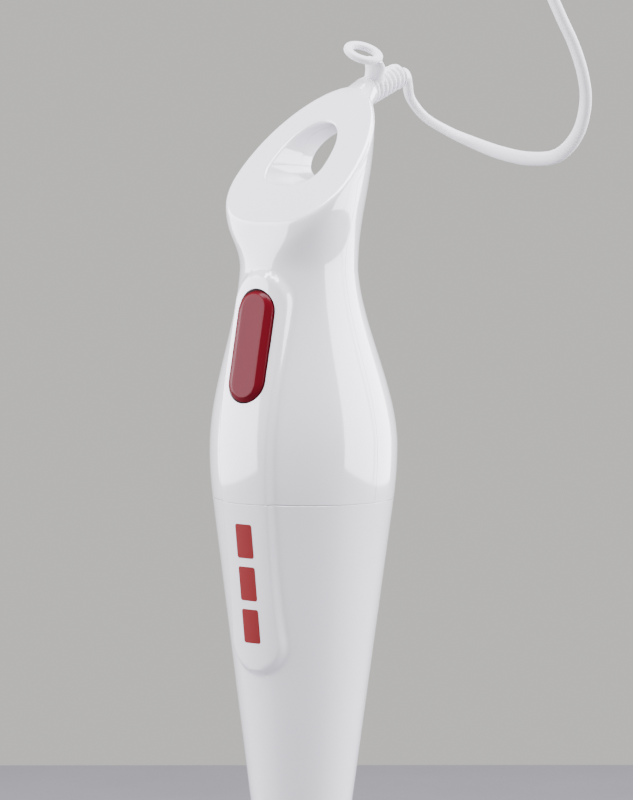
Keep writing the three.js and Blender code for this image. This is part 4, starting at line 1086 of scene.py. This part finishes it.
def eye_ring():
    """A soft oval ring: a rounded section carried round an ellipse."""
    long, wide, normal = eye_axes()
    a = np.linspace(0, 2 * math.pi, 72, endpoint=False)
    b = np.linspace(0, 2 * math.pi, 24, endpoint=False)
    points = []
    for turn in a:
        out = math.cos(turn) * long + math.sin(turn) * wide
        middle = EYE_MIDDLE + EYE_LONG * math.cos(turn) * long + EYE_WIDE * math.sin(turn) * wide
        across, up = power(np.cos(b), 0.8)[:, None], power(np.sin(b), 0.8)[:, None]
        points.append(middle + EYE_HALF_BAND * across * out + EYE_HALF_THICK * up * normal)
    return outward(make_object("tool", np.concatenate(points), loft_faces(len(a), len(b), closed=True)))


def eye_neck():
    """The neck that carries the eye, broad at both ends and waisted between."""
    long, wide, normal = eye_axes()
    start = EYE_MIDDLE + 4.5 * long - 1.9 * wide
    end = OUTLET_END + 3.6 * OUTLET_WAY + 1.0 * OUTLET_UP
    way = (end - start) / np.linalg.norm(end - start)
    side = np.cross(way, (1, 0, 0))
    side /= np.linalg.norm(side)
    other = np.cross(way, side)
    a = np.linspace(0, 2 * math.pi, 36, endpoint=False)[:, None]
    rings = []
    for t, thick, broad in between_rows([(0, 1.0, 3.0), (0.2, 2.0, 3.8), (0.45, 2.7, 3.4), (0.7, 3.4, 3.5),
                                         (1, 4.6, 3.9)], 5):
        rings.append(mix(start, end, t) + thick * np.cos(a) * side + broad * np.sin(a) * other)
    return loft("tool", rings)


# ---- Blending foot ------------------------------------------------------------------------------

SOCKET_R, GROOVE_R, COLLAR_TOP_Z = 13.6, 15.1, 115.9


def wedge_tool(radius, middle, half_angle, z0, z1):
    a = np.radians(np.linspace(middle - half_angle, middle + half_angle, 15))
    outline = [(0.0, 0.0)] + [(radius * math.cos(x), radius * math.sin(x)) for x in a]
    return prism_tool(outline, z0, z1, 2)


def notch_tool(turn):
    """An arched cut right across the bell's rim."""
    arch = [(8 * math.cos(a), 6 + 5 * math.sin(a)) for a in np.linspace(0.15, math.pi - 0.15, 17)]
    made = prism_tool([(-8, -5), (8, -5), (8, 6)] + arch + [(-8, 6)], -60, 60, 1)
    made.data.transform(Matrix.Rotation(math.radians(turn), 4, "Z"))
    return made


def make_foot():
    outline = between_rows([(35, 16), (32, 25.5), (25.5, 35), (17.5, 44), (13.3, 54), (12.2, 66), (12.6, 78),
                            (15.2, 88), (17.6, 96)], 7)
    inside = between_rows([(10.6, 43.5), (16, 41), (22.5, 34.6), (29.5, 25.5), (32.6, 15)], 6)
    profile = [(34.0, 0.5), (34.5, 0.1), (35.3, 0.1), (35.9, 0.6), (36, 1.2)]
    profile += [(36 - 0.2 * t * t, 1.2 + 11 * t) for t in np.linspace(0.2, 1, 5)]
    profile += [tuple(p) for p in outline] + [(17.5, 100), (17.0, 110), (16.75, 115.2), (16.3, COLLAR_TOP_Z)]
    profile += [(SOCKET_R + 0.4, COLLAR_TOP_Z), (SOCKET_R, 115.4), (SOCKET_R, 93.5), (6, 93.5), (6, 30),
                (9.1, 30), (9.4, 30.3), (9.4, 40)]
    made = lathe("foot_skin", profile + [tuple(p) for p in inside], 144)
    tools = [notch_tool(45), notch_tool(135)]
    for turn in (0, 180):
        tools.append(wedge_tool(GROOVE_R, turn, 16, 97.8, 130))
        tools.append(wedge_tool(GROOVE_R, turn - 17.5, 33.5, 97.8, 103))
    boolean(made, tools)
    finish_piece(made, "foot", "white_plastic", "blending_foot", angle=30)
    seal = lathe("gasket_skin", rounded([(15.4, 116.2), (16.5, 116.2), (16.5, 117.7), (15.4, 117.7)]))
    finish_piece(seal, "lock_seal", "seal_rubber", "foot_gasket")


def make_nose():
    """The fixed half of the bayonet, with two lugs."""
    made = lathe("nose_skin", [(10.5, 96.3), (10.8, 96), (12.4, 96), (12.9, 96.4), (NOSE_R, 97),
                               (NOSE_R, NOSE_FLANGE_Z), (15.3, NOSE_FLANGE_Z), (15.3, 134), (6, 134),
                               (6, 128), (10.5, 126)])
    for turn in (0, 180):
        lug = wedge_tool(14.8, turn, 12, 99, 102)
        boolean(lug, [lathe_disc(11.5, 80, 130)])
        boolean(made, [lug], "UNION")
    finish_piece(made, "housing", "grey_plastic", "coupling_nose")


def lathe_disc(radius, z0, z1, segments=48):
    return rod_tool((0, 0, z0), (0, 0, z1), radius, segments)


def wing(turn, lift):
    """One blade wing: flat below, ground to an edge along its curved side."""
    t = np.linspace(0, 1, 14)[1:, None]
    start, pull, tip = np.array([16.1, -3.9]), np.array([24.7, -1.5]), np.array([26.0, 4.5])
    curve = (1 - t) ** 2 * start + 2 * t * (1 - t) * pull + t * t * tip
    edge = np.vstack([[0, -4.5], [8, -4.2], start, curve])
    ground = edge + np.array([-0.35, 1.0]) * np.clip(edge[:, :1] / 8, 0, 1) * np.array([1.6, 1.3])
    ground[-1] = (24.6, 4.5)
    back = np.array([[0, 4.5]])
    rings = [np.insert(np.vstack([edge, back]), 2, z, axis=1) for z in (0.0, 0.25)]
    rings.append(np.insert(np.vstack([ground, back]), 2, 1.6, axis=1))
    made = loft("tool", rings)
    tilted = Matrix.Rotation(turn, 4, "Z") @ Matrix.Rotation(lift, 4, "Y")
    made.data.transform(Matrix.Translation((0, 0, 11 * MM)) @ tilted)
    return made


def make_blade():
    hub = lathe("blade_skin", rounded([(2.3, 10.2), (5.2, 10.2), (5.2, 13.6), (2.3, 13.6)], 0.5), 64)
    wings = [wing(0, math.radians(-9)), wing(math.pi, math.radians(7))]
    bore = lathe_disc(2.3, 0, 40)
    boolean(hub, wings, "UNION")
    boolean(hub, [bore])
    finish_piece(hub, "blade_unit", "blade_steel", "blade", angle=20)
    hexagon = np.radians(np.arange(0, 360, 60))
    rings = []
    for z, r in ((7.2, 3.8), (7.5, 4.2), (9.5, 4.2), (9.8, 3.8)):
        rings.append(np.stack([r * np.sin(hexagon), -r * np.cos(hexagon), np.full(6, z)], 1))
    nut = boolean(loft("nut_skin", rings), [lathe_disc(2.3, 0, 20)])
    finish_piece(nut, "blade_unit", "blade_steel", "blade_nut", angle=20)


# ---- Spring and screw ---------------------------------------------------------------------------

def make_spring():
    turns = np.linspace(0, 2 * math.pi * 5, 161)
    line = np.stack([2.6 * np.cos(turns), -16 + 12 * turns / turns[-1], 267.2 - 2.6 * np.sin(turns)], 1)
    tangents, ways = cord_frames(line, (1, 0, 0))
    made = swept("spring_skin", line, ways, tangents, 0.45, 0.45, 10, 1.0)
    finish_piece(made, "housing", "steel", "button_spring", angle=60)
    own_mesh(made)


def make_screw():
    """The one screw at the back: a domed head with a cross slot."""
    rows = [(SCREW_END_Y, 0.3), (SCREW_END_Y + 1.6, SCREW_SHANK_R), (SCREW_HEAD_Y - 2.2, SCREW_SHANK_R),
            (SCREW_HEAD_Y - 2.2, SCREW_HEAD_R), (SCREW_HEAD_Y - 0.7, SCREW_HEAD_R),
            (SCREW_HEAD_Y - 0.25, 2.5), (SCREW_HEAD_Y, 1.2)]
    a = np.linspace(0, 2 * math.pi, 40, endpoint=False)
    rings = [np.stack([r * np.cos(a), np.full(40, y), SCREW_Z + r * np.sin(a)], 1) for y, r in rows]
    made = loft("screw_skin", rings)
    deep = SCREW_HEAD_Y - 1.1
    boolean(made, [box_tool(-1.9, 1.9, deep, 20, SCREW_Z - 0.4, SCREW_Z + 0.4),
                   box_tool(-0.4, 0.4, deep, 20, SCREW_Z - 1.9, SCREW_Z + 1.9)])
    finish_piece(made, "housing", "steel", "shell_screw", angle=30)


make_button()
for number, span in enumerate(BAR_SPANS):
    make_bar(f"bar_{number + 1}", *span)
make_foot()
make_nose()
make_blade()
make_spring()
make_screw()
SLEEVE = make_sleeve()
make_plug() + [make_tie(), SLEEVE]


# ---- Surroundings -------------------------------------------------------------------------------

FLOOR_WIDTH, FLOOR_FRONT, FLOOR_BEHIND = 1.6, 0.8, 0.782  # it ends before the side panels
COOL = (0.91, 0.895, 1.0)
PANEL_DISTANCE, PANEL_HEIGHT, PANEL_LIFT = 0.85, 0.9, 0.06


def make_floor():
    half = FLOOR_WIDTH / 2
    points = [(-half, -FLOOR_FRONT, 0), (half, -FLOOR_FRONT, 0), (half, FLOOR_BEHIND, 0),
              (-half, FLOOR_BEHIND, 0)]
    floor = make_object("floor", points, [(0, 1, 2, 3)], scale=1.0)
    floor.rotation_euler.z = VIEW_AZIMUTH + math.radians(2.1)
    floor.location.z = -0.0002
    made = Nodes("table")
    made.colour(made.ramp(made.noise(14.0, 5.0), (0.134, 0.133, 0.142), (0.144, 0.143, 0.152)))
    made.roughness(made.between(made.noise(60.0), 0.5, 0.6))
    floor.data.materials.append(made.material)


def make_light(name, place, turn, width, height, radiance):
    """A soft panel; radiance is its brightness, and turn is the direction it faces."""
    data = bpy.data.lights.new(name, "AREA")
    data.shape = "RECTANGLE"
    data.size, data.size_y = width, height
    data.energy = radiance * math.pi * width * height
    data.color = COOL
    light = bpy.data.objects.new(name, data)
    light.location = place
    light.rotation_mode = "QUATERNION"
    light.rotation_quaternion = Vector(turn).to_track_quat("-Z", "Y")
    light.visible_camera = False
    bpy.context.scene.collection.objects.link(light)


def make_side_panel(name, azimuth, spread, radiance):
    """An upright panel from just above the table to above the object, seen from it over an angle."""
    a = math.radians(azimuth)
    out = Vector((math.sin(a), -math.cos(a), 0))
    width = 2 * PANEL_DISTANCE * math.tan(math.radians(spread) / 2)
    place = out * PANEL_DISTANCE + Vector((0, 0, PANEL_HEIGHT / 2 + PANEL_LIFT))
    make_light(name, place, -out, width, PANEL_HEIGHT, radiance)


def make_world():
    world = bpy.data.worlds.new("studio")
    world.use_nodes = True
    back = next(n for n in world.node_tree.nodes if n.type == "BACKGROUND")
    back.inputs["Color"].default_value = (0.66, 0.65, 0.615, 1)
    back.inputs["Strength"].default_value = 1.0
    bpy.context.scene.world = world


make_floor()
make_side_panel("left_softbox", azimuth=-52, spread=74, radiance=8.3)
make_side_panel("right_softbox", azimuth=132, spread=84, radiance=9.8)
make_light("top_softbox", (0.05, -0.1, 1.5), (0, 0, -1), width=1.0, height=1.0, radiance=16.5)
make_world()
